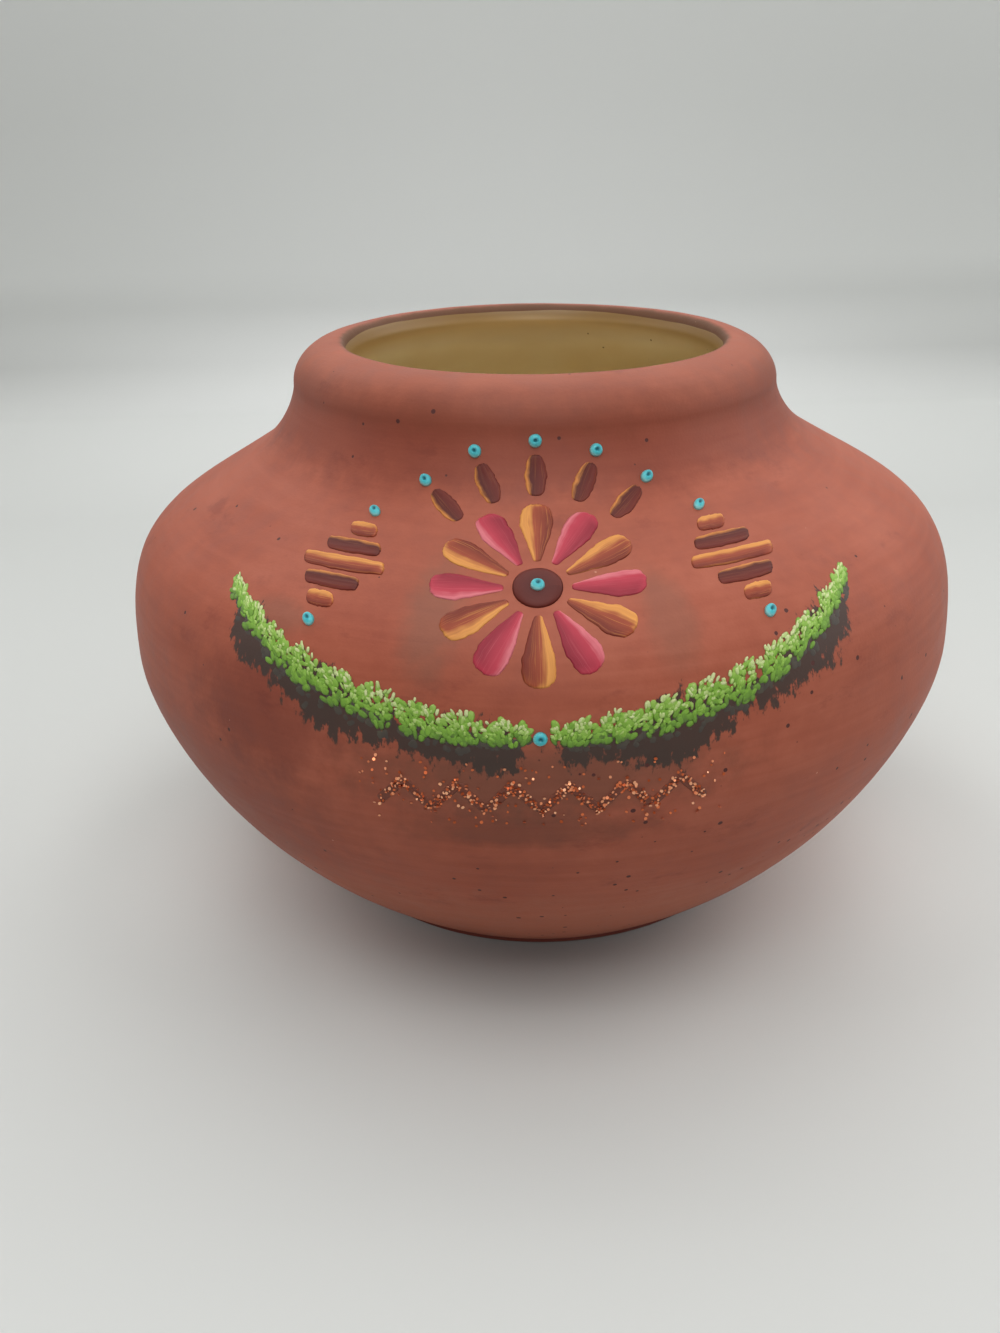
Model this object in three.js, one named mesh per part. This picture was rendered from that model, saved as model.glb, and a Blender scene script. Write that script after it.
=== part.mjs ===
// A wide-shouldered pottery vase: one fired clay shell with an incurved lip, a coat of glaze inside
// and raised paint marks on the front. Millimetres, +Z up, the origin under the middle of the foot,
// the painted front towards -Y.
import * as THREE from "three";

// The outside of the clay, from the foot up
const potHeight = 101;
const footRadius = 41.6;
const footStep = 1.2; // upright edge of the foot, under the belly's curve
const bellyRadius = 75;
const bellyHeight = 50.7; // height of the widest ring
const belowBellyLean = 36; // degrees above level where the wall leaves the foot
const belowBellyReach = 29; // how long the wall keeps that lean
const belowBellyRound = 9.5; // how long it stays upright under the widest ring
const shoulderRound = 21.5; // the same, above the widest ring
const neckBaseRadius = 50.8;
const neckBaseHeight = 82.7;
const shoulderLean = 31; // degrees above level where the shoulder meets the neck
const shoulderReach = 21.8;
const neckRadius = 42.8;
const neckHollow = 6.3; // how far the shoulder's lean runs on into the neck
const neckUpright = 2.6;

// The lip, which curls inwards
const lipReach = 8.4; // from the neck's outside in to the crest
const lipRise = 6.8; // from the top of the neck up to the crest
const lipEdge = 1.4; // from the crest in to the inner edge
const lipEdgeDrop = 3.2; // from the crest down to the inner edge
const rimTilt = 0.015; // the rim is out of level: it drops this much for each unit to the right

// Walls and the hidden side
const wall = 5;
const floorThickness = 6.5;
const floorFillet = 15; // how far the wall blends into the floor
const floorBlendEnd = 0.22; // share of the lower wall that this blend takes up
const throatStart = 0.45; // share of the neck that the inside follows
const throatBlend = 4.5; // how upright the underside of the lip starts and ends
const recessDepth = 1.6; // hollow under the foot
const recessSlope = 2;
const footRing = 6.6; // width of the ring that the pot stands on

// Coats, each a little off what carries it
const seatGap = 0.3;
const glazeFilm = 0.6;
const glazeRise = 1.6; // the glaze stops this far up the lip's inner edge
const strokeFilm = 0.6;
const filmEdge = 0.35; // share of a film's thickness left at its sides

// Rosette of petal strokes on the front of the shoulder
const rosetteRise = 31; // along the wall, up from the widest ring
const bossRadius = 3.8;
const bossFilm = 0.8;
const petalCount = 12;
const petalStart = 4.8; // from the rosette's middle
const petalLength = 11;
const petalGap = 0.6; // least bare clay between two petals
const petalFullness = 0.92;

// Plume of strokes over the rosette
const plumeCount = 5;
const plumeSpread = 21; // degrees between two strokes
const plumeGap = 1.3; // from the petals' tips
const plumeLength = 6.6;
const plumeHalfWidth = 1.75;

// Stepped lozenge of level strokes on each side
const lozengeSteps = 3; // strokes from a point to the widest one
const lozengeStep = 2.5; // each stroke is this much longer at each end than the last
const barHeight = 3;
const barGap = 0.45;
const lozengeGap = 8; // from the rosette
const lozengeClear = 2; // from its lower dot down to the garland

// Garland of leaves below
const garlandHalfWidth = 3.9;
const garlandGap = 3.2; // from the petals' tips down to the garland
const garlandRise = 17; // from its lowest point up to its ends
const garlandSweep = 44; // degrees from the front to each end
const garlandTie = 1.7; // half of the bare stretch in the middle
const leafFilm = 1;
const leafClusters = 9; // along each half
const leafNotch = 0.2; // share of width and thickness lost between two clusters

// Zigzag of glitter under the garland
const zigzagGap = 3.4; // from the garland
const zigzagHeight = 4.2; // from valley to peak
const zigzagHalfWidth = 1.1;
const zigzagPeaks = 6;
const zigzagReach = 24; // half of its length
const glitterFilm = 0.45;

// Turquoise dots
const dotRadius = 1.1;
const dotFilm = 0.75;
const dotGap = 0.9; // from the stroke that it tops

// Faces round the pot, and steps along each stretch of its outline
const facets = 56;
const outsideSteps = { lowerWall: 8, shoulder: 8, neck: 8, lipOutside: 5, lipInside: 3 };
const insideSteps = { fillet: 3, lowerWall: 5, shoulder: 6, neck: 2, underLip: 4 };
const dotFacets = 10;
const bossFacets = 16;

const degrees = Math.PI / 180;
const quarterTurn = Math.PI / 2;
const front = -quarterTurn;
const up = new THREE.Vector3(0, 0, 1);

const clay = new THREE.MeshStandardMaterial({ color: 0xa9654f, roughness: 0.72, metalness: 0 });
const glaze = new THREE.MeshStandardMaterial({ color: 0x96804a, roughness: 0.35, metalness: 0 });
const ochre = new THREE.MeshStandardMaterial({ color: 0xd08a45, roughness: 0.5, metalness: 0 });
const maroon = new THREE.MeshStandardMaterial({ color: 0x5a241e, roughness: 0.5, metalness: 0 });
const crimson = new THREE.MeshStandardMaterial({ color: 0xb8404e, roughness: 0.5, metalness: 0 });
const leafGreen = new THREE.MeshStandardMaterial({ color: 0x8fae4c, roughness: 0.6, metalness: 0 });
const turquoise = new THREE.MeshStandardMaterial({ color: 0x4fb9c0, roughness: 0.4, metalness: 0 });
const copper = new THREE.MeshStandardMaterial({ color: 0xb5613c, roughness: 0.35, metalness: 0.8 });

// A point in the profile's plane (radius, height), and a step there at an angle above level
const at = (radius, height) => new THREE.Vector2(radius, height);
const along = (length, angle) => at(length * Math.cos(angle), length * Math.sin(angle));

// The outside, in four stretches that run upwards
const belly = at(bellyRadius, bellyHeight);
const footTop = at(footRadius, footStep);
const neckBase = at(neckBaseRadius, neckBaseHeight);
const neckTop = at(neckRadius, potHeight - lipRise);
const crestRadius = neckRadius - lipReach;
const shoulderWay = (180 - shoulderLean) * degrees;
const lowerWall = new THREE.CubicBezierCurve(
  footTop,
  footTop.clone().add(along(belowBellyReach, belowBellyLean * degrees)),
  belly.clone().sub(at(0, belowBellyRound)),
  belly,
);
const shoulder = new THREE.CubicBezierCurve(
  belly,
  belly.clone().add(at(0, shoulderRound)),
  neckBase.clone().sub(along(shoulderReach, shoulderWay)),
  neckBase,
);
const neck = new THREE.CubicBezierCurve(
  neckBase,
  neckBase.clone().add(along(neckHollow, shoulderWay)),
  neckTop.clone().sub(at(0, neckUpright)),
  neckTop,
);
const lipOutside = new THREE.EllipseCurve(
  crestRadius, neckTop.y, lipReach, lipRise, 0, quarterTurn);
const outerWall = new THREE.CurvePath();
[lowerWall, shoulder, neck, lipOutside].forEach((stretch) => outerWall.add(stretch));

// The lip's inner side, from the crest down to its edge
const lipEdgeHeight = potHeight - lipEdgeDrop;
const lipInside = new THREE.EllipseCurve(
  crestRadius, lipEdgeHeight, lipEdge, lipEdgeDrop, quarterTurn, 2 * quarterTurn);

// Points inside the wall, square to a stretch of the outside
function innerSide(stretch, from, to, steps) {
  return Array.from({ length: steps + 1 }, (_, i) => {
    const t = THREE.MathUtils.lerp(from, to, i / steps);
    const way = stretch.getTangent(t);
    return stretch.getPoint(t).add(at(-way.y, way.x).multiplyScalar(wall));
  });
}

// The inside of the clay, from the middle of the floor up to the lip's edge
function insideOutline() {
  const lower = innerSide(lowerWall, floorBlendEnd, 1, insideSteps.lowerWall);
  const upper = innerSide(shoulder, 0, 1, insideSteps.shoulder).slice(1);
  const throat = innerSide(neck, 0, throatStart, insideSteps.neck).slice(1);
  const wallFoot = lower[0];
  const floorEdge = wallFoot.x - (wallFoot.y - floorThickness);
  const fillet = new THREE.QuadraticBezierCurve(
    at(floorEdge - floorFillet, floorThickness), at(floorEdge, floorThickness), wallFoot);
  const throatEnd = throat[throat.length - 1];
  const edge = lipInside.getPoint(1);
  const underLip = new THREE.CubicBezierCurve(
    throatEnd,
    throatEnd.clone().add(neck.getTangent(throatStart).multiplyScalar(throatBlend)),
    edge.clone().sub(at(0, throatBlend)),
    edge,
  );
  return [
    at(0, floorThickness),
    ...fillet.getPoints(insideSteps.fillet).slice(0, -1),
    ...lower,
    ...upper,
    ...throat,
    ...underLip.getPoints(insideSteps.underLip).slice(1),
  ];
}

// Points shifted to the left of the way that they run; one on the axis moves straight up
function shifted(points, distance) {
  return points.map((point, i) => {
    const before = points[Math.max(i - 1, 0)];
    const after = points[Math.min(i + 1, points.length - 1)];
    const way = after.clone().sub(before).normalize();
    const side = point.x === 0 ? at(0, 1) : at(-way.y, way.x);
    return point.clone().add(side.multiplyScalar(distance));
  });
}

// The rim's own lean: none of it below the neck, all of it from the neck's top up
function leanRim(point) {
  const share = THREE.MathUtils.smoothstep(point.z, neckBase.y, neckTop.y);
  point.z -= rimTilt * point.x * share;
  return point;
}

// A closed outline turned round the pot's axis
function turned(outline) {
  const geometry = new THREE.LatheGeometry(outline, facets).rotateX(quarterTurn);
  const places = geometry.getAttribute("position");
  const point = new THREE.Vector3();
  for (let i = 0; i < places.count; i++) {
    leanRim(point.fromBufferAttribute(places, i));
    places.setXYZ(i, point.x, point.y, point.z);
  }
  return geometry;
}

function clayBody() {
  const ringInside = footRadius - footRing;
  const footChamfer = footStep / 2;
  return turned([
    at(0, recessDepth),
    at(ringInside - recessSlope, recessDepth),
    at(ringInside, 0),
    at(footRadius - footChamfer, 0),
    at(footRadius, footChamfer),
    ...lowerWall.getPoints(outsideSteps.lowerWall),
    ...shoulder.getPoints(outsideSteps.shoulder).slice(1),
    ...neck.getPoints(outsideSteps.neck).slice(1),
    ...lipOutside.getPoints(outsideSteps.lipOutside).slice(1),
    ...lipInside.getPoints(outsideSteps.lipInside).slice(1, -1),
    ...insideOutline().reverse(),
  ]);
}

// The coat of glaze, from the middle of the floor up to the line where it stops on the lip
function interiorGlaze() {
  const lineShare = 1 - Math.asin(glazeRise / lipEdgeDrop) / quarterTurn;
  const coated = [...insideOutline(), lipInside.getPoint(lineShare)];
  const outside = shifted(coated, seatGap);
  const inside = shifted(coated, seatGap + glazeFilm);
  return turned([...outside, ...inside.reverse()]);
}

// A place on the outside: up along the wall from the widest ring, turned from the front by an angle
// and lifted off the clay
const wallShare = (rise) => (lowerWall.getLength() + rise) / outerWall.getLength();
const wallRadius = (rise) => outerWall.getPoint(wallShare(rise)).x;

function onWall(turn, rise, lift) {
  const spot = outerWall.getPoint(wallShare(rise));
  const way = outerWall.getTangent(wallShare(rise));
  const radius = spot.x + way.y * lift;
  const angle = front + turn;
  const height = spot.y - way.x * lift;
  return leanRim(new THREE.Vector3(radius * Math.cos(angle), radius * Math.sin(angle), height));
}

// A raised film of paint. Its plan runs from 0 to 1 along and from -1 to 1 across, and place gives
// the spot of each: a turn from the front and a rise. The top is crowned, the underside follows the
// clay, and lump thins the film along the way.
function paintFilm({ place, film, steps, lanes, lump = () => 1 }) {
  const crown = (across) => film * THREE.MathUtils.lerp(filmEdge, 1, Math.sqrt(1 - across ** 2));
  const places = [];
  for (let i = 0; i <= steps; i++) {
    for (let j = 0; j <= lanes; j++) {
      const across = (2 * j) / lanes - 1;
      const [turn, rise] = place(i / steps, across);
      places.push(...onWall(turn, rise, seatGap).toArray());
      places.push(...onWall(turn, rise, seatGap + crown(across) * lump(i / steps)).toArray());
    }
  }
  const faces = [];
  const quad = (a, b, c, d) => faces.push(a, b, c, a, c, d);
  const low = (i, j) => 2 * (i * (lanes + 1) + j);
  const high = (i, j) => low(i, j) + 1;
  for (let i = 0; i < steps; i++) {
    for (let j = 0; j < lanes; j++) {
      quad(high(i, j), high(i, j + 1), high(i + 1, j + 1), high(i + 1, j));
      quad(low(i, j), low(i + 1, j), low(i + 1, j + 1), low(i, j + 1));
    }
    quad(low(i, 0), high(i, 0), high(i + 1, 0), low(i + 1, 0));
    quad(low(i, lanes), low(i + 1, lanes), high(i + 1, lanes), high(i, lanes));
  }
  for (let j = 0; j < lanes; j++) {
    quad(low(0, j), low(0, j + 1), high(0, j + 1), high(0, j));
    quad(low(steps, j), high(steps, j), high(steps, j + 1), low(steps, j + 1));
  }
  const geometry = new THREE.BufferGeometry();
  geometry.setAttribute("position", new THREE.Float32BufferAttribute(places, 3));
  return geometry.setIndex(faces);
}

// A flat spot (across, up) beside the rosette's middle, at its true distance round the pot
function besideRosette(x, y) {
  const rise = rosetteRise + y;
  return [x / wallRadius(rise), rise];
}

// How a stroke swells along its way; the nearer start is to 0 and end is to 1, the sharper its ends
function swell(t, start, end) {
  return Math.sqrt(Math.sin(Math.PI * THREE.MathUtils.lerp(start, end, t)));
}

// A stroke straight out from the rosette's middle
function rayStroke({ angle, from, length, halfWidth }) {
  const place = (t, across) => {
    const out = from + length * t;
    const side = across * halfWidth(t, out);
    return besideRosette(
      out * Math.sin(angle) + side * Math.cos(angle),
      out * Math.cos(angle) - side * Math.sin(angle),
    );
  };
  return paintFilm({ place, film: strokeFilm, steps: 6, lanes: 2 });
}

function petal(index) {
  const angle = (2 * Math.PI * index) / petalCount;
  const room = (out) => out * Math.sin(Math.PI / petalCount) - petalGap / 2;
  const halfWidth = (t, out) => room(out) * petalFullness * swell(t, 0.16, 0.88);
  return rayStroke({ angle, from: petalStart, length: petalLength, halfWidth });
}

const petalTip = petalStart + petalLength;
const plumeAngle = (index) => (index - (plumeCount - 1) / 2) * plumeSpread * degrees;

function plumeStroke(index) {
  const halfWidth = (t) => plumeHalfWidth * swell(t, 0.14, 0.88);
  const from = petalTip + plumeGap;
  return rayStroke({ angle: plumeAngle(index), from, length: plumeLength, halfWidth });
}

// The garland's middle line, from the front out to one end
const garlandLow = rosetteRise - petalTip - garlandGap - garlandHalfWidth;
const garlandEnd = garlandSweep * degrees;
const garlandHeight = (turn) => garlandLow + garlandRise * (turn / garlandEnd) ** 2;

function garlandHalf(side) {
  const tie = garlandTie / bellyRadius;
  const wave = (t) => Math.abs(Math.sin(Math.PI * leafClusters * t));
  const notched = (t) => 1 - leafNotch * (1 - wave(t));
  const place = (t, across) => {
    const turn = THREE.MathUtils.lerp(tie, garlandEnd, t);
    const halfWidth = garlandHalfWidth * notched(t) * swell(t, 0.08, 0.92);
    return [side * turn, garlandHeight(turn) - side * across * halfWidth];
  };
  return paintFilm({ place, film: leafFilm, steps: 4 * leafClusters, lanes: 2, lump: notched });
}

// A lozenge's strokes, counted up from its lower point, and the dots that top its two points
const barCount = 2 * lozengeSteps - 1;
const barPitch = barHeight + barGap;
const lozengeDotRise = (barCount * barPitch) / 2 + dotGap + dotRadius;
const lozengeTurn = (petalTip + lozengeGap + lozengeSteps * lozengeStep) / wallRadius(rosetteRise);
const lozengeRise =
  garlandHeight(lozengeTurn) + garlandHalfWidth + lozengeClear + dotRadius + lozengeDotRise;

function lozengeBar(side, index) {
  const fromMiddle = index - (lozengeSteps - 1);
  const halfLength = (lozengeSteps - Math.abs(fromMiddle)) * lozengeStep;
  const place = (t, across) => {
    const bluntEnds = THREE.MathUtils.lerp(0.72, 1, swell(t, 0.04, 0.96));
    const rise = lozengeRise + fromMiddle * barPitch - (across * bluntEnds * barHeight) / 2;
    return [side * lozengeTurn + (halfLength * (2 * t - 1)) / wallRadius(rise), rise];
  };
  return paintFilm({ place, film: strokeFilm, steps: 6, lanes: 2 });
}

// A zigzag with sharp turns, drawn at a steady width
function glitterZigzag() {
  const steps = 2 * zigzagPeaks;
  const valley = garlandLow - garlandHalfWidth - zigzagGap - zigzagHeight;
  const place = (t, across) => {
    const peak = Math.round(t * steps) % 2;
    const rise = valley + zigzagHeight * peak - across * zigzagHalfWidth;
    return [(zigzagReach * (2 * t - 1)) / bellyRadius, rise];
  };
  return paintFilm({ place, film: glitterFilm, steps, lanes: 2 });
}

// Round blobs of thick paint, modelled flat with their foot at the origin
function blob(radius, film, blobFacets) {
  const outline = [at(0, 0), at(radius, 0), at(radius * 0.8, film * 0.75), at(0, film)];
  return new THREE.LatheGeometry(outline, blobFacets).rotateX(quarterTurn);
}

function setOnWall(mesh, turn, rise, lift) {
  const foot = onWall(turn, rise, lift);
  const outward = onWall(turn, rise, lift + 1).sub(foot).normalize();
  mesh.position.copy(foot);
  mesh.quaternion.setFromUnitVectors(up, outward);
  return mesh;
}

function piece(name, geometry, material) {
  const mesh = new THREE.Mesh(geometry, material);
  mesh.name = name;
  return mesh;
}

function potGroup() {
  const group = new THREE.Group();
  group.add(piece("clay_body", clayBody(), clay));
  group.add(piece("interior_glaze", interiorGlaze(), glaze));
  return group;
}

function rosetteGroup() {
  const group = new THREE.Group();
  for (let i = 0; i < petalCount; i++) {
    group.add(piece(`petal_${i + 1}`, petal(i), i % 2 ? crimson : ochre));
  }
  const boss = piece("rosette_boss", blob(bossRadius, bossFilm, bossFacets), maroon);
  group.add(setOnWall(boss, 0, rosetteRise, seatGap));
  for (let i = 0; i < plumeCount; i++) {
    group.add(piece(`plume_stroke_${i + 1}`, plumeStroke(i), maroon));
  }
  return group;
}

function lozengeGroup(side, sideName) {
  const group = new THREE.Group();
  for (let i = 0; i < barCount; i++) {
    group.add(piece(`lozenge_${sideName}_bar_${i + 1}`, lozengeBar(side, i), i % 2 ? maroon : ochre));
  }
  return group;
}

function garlandGroup() {
  const group = new THREE.Group();
  group.add(piece("garland_left", garlandHalf(-1), leafGreen));
  group.add(piece("garland_right", garlandHalf(1), leafGreen));
  group.add(piece("glitter_zigzag", glitterZigzag(), copper));
  return group;
}

function dotGroup() {
  const group = new THREE.Group();
  const dot = (name, turn, rise, lift = seatGap) => {
    const mesh = piece(`dot_${name}`, blob(dotRadius, dotFilm, dotFacets), turquoise);
    group.add(setOnWall(mesh, turn, rise, lift));
  };
  dot("boss", 0, rosetteRise, seatGap + bossFilm + seatGap);
  dot("garland", 0, garlandLow);
  const plumeDot = petalTip + plumeGap + plumeLength + dotGap + dotRadius;
  for (let i = 0; i < plumeCount; i++) {
    const angle = plumeAngle(i);
    const spot = besideRosette(plumeDot * Math.sin(angle), plumeDot * Math.cos(angle));
    dot(`plume_${i + 1}`, ...spot);
  }
  for (const [sideName, side] of [["left", -1], ["right", 1]]) {
    dot(`lozenge_${sideName}_top`, side * lozengeTurn, lozengeRise + lozengeDotRise);
    dot(`lozenge_${sideName}_bottom`, side * lozengeTurn, lozengeRise - lozengeDotRise);
  }
  return group;
}

const vase = new THREE.Group();
vase.add(potGroup());
vase.add(rosetteGroup());
vase.add(lozengeGroup(-1, "left"));
vase.add(lozengeGroup(1, "right"));
vase.add(garlandGroup());
vase.add(dotGroup());

export default vase;
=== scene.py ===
import math
import random

import bpy
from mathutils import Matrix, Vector


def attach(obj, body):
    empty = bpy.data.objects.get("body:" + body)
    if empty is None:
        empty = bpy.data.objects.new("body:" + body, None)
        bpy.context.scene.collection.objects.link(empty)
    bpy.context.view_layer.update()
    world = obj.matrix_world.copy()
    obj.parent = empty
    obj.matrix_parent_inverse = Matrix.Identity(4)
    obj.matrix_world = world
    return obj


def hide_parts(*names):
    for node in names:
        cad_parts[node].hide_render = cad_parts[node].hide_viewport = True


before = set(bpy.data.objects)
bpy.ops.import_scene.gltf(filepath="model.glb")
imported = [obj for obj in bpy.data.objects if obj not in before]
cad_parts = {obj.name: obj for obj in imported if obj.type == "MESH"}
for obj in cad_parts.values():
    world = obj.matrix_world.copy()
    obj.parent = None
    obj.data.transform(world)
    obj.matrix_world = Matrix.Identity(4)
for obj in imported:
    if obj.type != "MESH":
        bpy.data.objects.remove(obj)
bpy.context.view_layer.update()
mm = 0.001
weldGap = 0.000002  # metres within which points are one
paintSunk = 0.00003  # metres that a film of paint reaches into what it lies on
toneSeeds = 37  # places in the noise that tones from 0 to 1 are spread over
print("frame loaded")


# An sRGB hex colour as the linear one that Blender's sockets take
def linear(code):
    shares = [int(code[i:i + 2], 16) / 255 for i in (1, 3, 5)]
    return [s / 12.92 if s <= 0.04045 else ((s + 0.055) / 1.055) ** 2.4 for s in shares] + [1]


# Sets or links a node's inputs. A node given as an input stands for its first output.
def setInputs(tree, node, inputs):
    shown = [socket for socket in node.inputs if socket.enabled]
    for key, value in inputs.items():
        socket = shown[key] if isinstance(key, int) else next(s for s in shown if s.name == key)
        if isinstance(value, bpy.types.Node):
            value = next(s for s in value.outputs if s.enabled)
        if isinstance(value, bpy.types.NodeSocket):
            tree.links.new(value, socket)
        else:
            socket.default_value = value


# Adds a node with its settings, its inputs and, on a colour ramp, its tones from low to high
def addNode(tree, kind, inputs=None, tones=(), **settings):
    node = tree.nodes.new(kind)
    for name, value in settings.items():
        setattr(node, name, value)
    if tones:
        elements = node.color_ramp.elements
        for element, (position, code) in zip(elements, (tones[0], tones[-1])):
            element.position = position
            element.color = linear(code)
        for position, code in tones[1:-1]:
            elements.new(position).color = linear(code)
    setInputs(tree, node, inputs or {})
    return node


# A geometry tree with its named inputs, each a socket kind and a first value
def newTree(name, inputs):
    tree = bpy.data.node_groups.new(name, "GeometryNodeTree")
    tree.interface.new_socket("Geometry", in_out="INPUT", socket_type="NodeSocketGeometry")
    tree.interface.new_socket("Geometry", in_out="OUTPUT", socket_type="NodeSocketGeometry")
    for label, (kind, value) in inputs.items():
        socket = tree.interface.new_socket(label, in_out="INPUT", socket_type="NodeSocket" + kind)
        if value is not None:
            socket.default_value = value
    return tree, tree.nodes.new("NodeGroupInput").outputs


def endTree(tree, geometry, material, smooth=True):
    shaded = addNode(tree, "GeometryNodeSetShadeSmooth", {"Geometry": geometry, "Shade Smooth": smooth})
    real = addNode(tree, "GeometryNodeRealizeInstances", {"Geometry": shaded})
    coated = addNode(tree, "GeometryNodeSetMaterial", {"Geometry": real, "Material": material})
    addNode(tree, "NodeGroupOutput", {"Geometry": coated})


# Runs a tree on a host mesh and keeps the result as a plain mesh
def grow(name, host, tree, values):
    piece = bpy.data.objects.new(name, host)
    bpy.context.scene.collection.objects.link(piece)
    growth = piece.modifiers.new("growth", "NODES")
    growth.node_group = tree
    for item in tree.interface.items_tree:
        if item.in_out == "INPUT" and item.name in values:
            growth[item.identifier] = values[item.name]
    graph = bpy.context.evaluated_depsgraph_get()
    made = bpy.data.meshes.new_from_object(
        piece.evaluated_get(graph), preserve_all_data_layers=True, depsgraph=graph)
    piece.modifiers.remove(growth)
    piece.data = made
    return piece


# A host mesh of points, in metres, with a number of each name for every point
def hostPoints(name, points, joined=False, **numbers):
    mesh = bpy.data.meshes.new(name)
    edges = [(i, i + 1) for i in range(len(points) - 1)] if joined else []
    mesh.from_pydata([Vector(point) * mm for point in points], edges, [])
    for label, values in numbers.items():
        mesh.attributes.new(label, "FLOAT", "POINT").data.foreach_set("value", values)
    return mesh


# The pot's outline, in mm: radius and height
pot = {
    "height": 101,
    "footRadius": 41.6,
    "footStep": 1.2,  # upright edge of the foot
    "belly": (75, 50.7),  # widest ring
    "footLean": (29, 36),  # how far the wall keeps its first lean, and the degrees above level
    "bellyRound": (9.5, 21.5),  # how long it stays upright under and over the widest ring
    "neckBase": (50.8, 82.7),
    "shoulderLean": (21.8, 31),
    "neckRadius": 42.8,
    "neckPull": (6.3, 2.6),
    "lip": (8.4, 6.8),  # in to the crest and up to it
    "lipEdge": (1.4, 3.2),  # from the crest in and down to the inner edge
    "rimLean": 0.015,
    "wall": 5,
    "floor": 6.5,
    "floorFillet": 15,
    "recess": 1.6,
    "footRing": 6.6,
    "facets": 192,
    "wallStep": 0.62,  # steps along the outline: on the wall, the neck, the lip, its edge and the inside
    "neckStep": 0.55,
    "lipStep": 0.45,
    "edgeStep": 0.35,
    "insideStep": 1.3,
    "underLipPull": 4.5,
}


def curve(start, startPull, endPull, end, first=0.0, last=1.0, steps=60):
    shares = [first + (last - first) * i / steps for i in range(steps + 1)]
    return [
        start * (1 - t) ** 3 + startPull * (3 * t * (1 - t) ** 2)
        + endPull * (3 * t * t * (1 - t)) + end * t ** 3
        for t in shares
    ]


def quarterRound(middle, across, up, first, steps=30):
    turns = [math.radians(first + 90 * i / steps) for i in range(steps + 1)]
    return [middle + Vector((across * math.cos(turn), up * math.sin(turn))) for turn in turns]


def slope(length, degrees):
    return Vector((length * math.cos(math.radians(degrees)), length * math.sin(math.radians(degrees))))


def arcs(points):
    total = [0.0]
    for before, after in zip(points, points[1:]):
        total.append(total[-1] + (after - before).length)
    return total


# The same line with even steps
def evenly(points, step):
    total = arcs(points)
    count = max(1, round(total[-1] / step))
    spaced = []
    at = 0
    for i in range(count + 1):
        goal = total[-1] * i / count
        while at < len(points) - 2 and total[at + 1] < goal:
            at += 1
        share = (goal - total[at]) / max(total[at + 1] - total[at], 1e-9)
        spaced.append(points[at].lerp(points[at + 1], min(share, 1)))
    return spaced


# Points moved square to their line, to its left
def beside(points, distance):
    moved = []
    for i, point in enumerate(points):
        way = (points[min(i + 1, len(points) - 1)] - points[max(i - 1, 0)]).normalized()
        moved.append(point + Vector((-way.y, way.x)) * distance)
    return moved


# Corners cut and eased, so that smooth shading holds
def eased(points, cut):
    result = [points[0]]
    for before, corner, after in zip(points, points[1:], points[2:]):
        start = corner + (before - corner).normalized() * min(cut, (before - corner).length / 2.2)
        end = corner + (after - corner).normalized() * min(cut, (after - corner).length / 2.2)
        result += [start.lerp(corner, t).lerp(corner.lerp(end, t), t) for t in (0, 0.25, 0.5, 0.75, 1)]
    return result + [points[-1]]


belly = Vector(pot["belly"])
neckBase = Vector(pot["neckBase"])
neckTop = Vector((pot["neckRadius"], pot["height"] - pot["lip"][1]))
footTop = Vector((pot["footRadius"], pot["footStep"]))
shoulderWay = 180 - pot["shoulderLean"][1]
lowerWall = (footTop, footTop + slope(*pot["footLean"]), belly - Vector((0, pot["bellyRound"][0])), belly)
shoulder = (
    belly, belly + Vector((0, pot["bellyRound"][1])),
    neckBase - slope(pot["shoulderLean"][0], shoulderWay), neckBase)
neck = (
    neckBase, neckBase + slope(pot["neckPull"][0], shoulderWay),
    neckTop - Vector((0, pot["neckPull"][1])), neckTop)
crest = Vector((neckTop.x - pot["lip"][0], pot["height"]))
lipOutside = quarterRound(Vector((crest.x, neckTop.y)), *pot["lip"], 0)
lipInside = quarterRound(crest - Vector((0, pot["lipEdge"][1])), *pot["lipEdge"], 90)

# The inside, from the middle of the floor up to the lip's inner edge
insideLower = beside(curve(*lowerWall, first=0.22), pot["wall"])
insideThroat = beside(curve(*neck, last=0.45), pot["wall"])
floorEdge = insideLower[0].x - (insideLower[0].y - pot["floor"])
floorCorner = Vector((floorEdge, pot["floor"]))
filletStart = Vector((floorEdge - pot["floorFillet"], pot["floor"]))
fillet = [
    filletStart.lerp(floorCorner, t).lerp(floorCorner.lerp(insideLower[0], t), t)
    for t in [i / 20 for i in range(20)]
]
throatWay = (insideThroat[-1] - insideThroat[-2]).normalized()
underLip = curve(
    insideThroat[-1], insideThroat[-1] + throatWay * pot["underLipPull"],
    lipInside[-1] - Vector((0, pot["underLipPull"])), lipInside[-1])
inside = [Vector((0, pot["floor"]))] + fillet + insideLower + beside(curve(*shoulder), pot["wall"])[1:]
inside += insideThroat[1:] + underLip[1:]

ringInside = pot["footRadius"] - pot["footRing"]
underside = eased([
    Vector((0, pot["recess"])),
    Vector((ringInside - 2, pot["recess"])),
    Vector((ringInside, 0)),
    Vector((pot["footRadius"] - pot["footStep"] / 2, 0)),
    Vector((pot["footRadius"], pot["footStep"] / 2)),
    footTop,
], 0.5)
outerWall = evenly(curve(*lowerWall), pot["wallStep"])
outerWall += evenly(curve(*shoulder), pot["wallStep"])[1:]
outerWall += evenly(curve(*neck), pot["neckStep"])[1:]
outerWall += evenly(lipOutside, pot["lipStep"])[1:]
section = underside[:-1] + outerWall
section += evenly(lipInside, pot["edgeStep"])[1:] + evenly(inside[::-1], pot["insideStep"])[1:]
sectionArcs = arcs(section)
sectionLength = sectionArcs[-1]
wallArcs = arcs(outerWall)
lowerLength = arcs(curve(*lowerWall))[-1]
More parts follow.
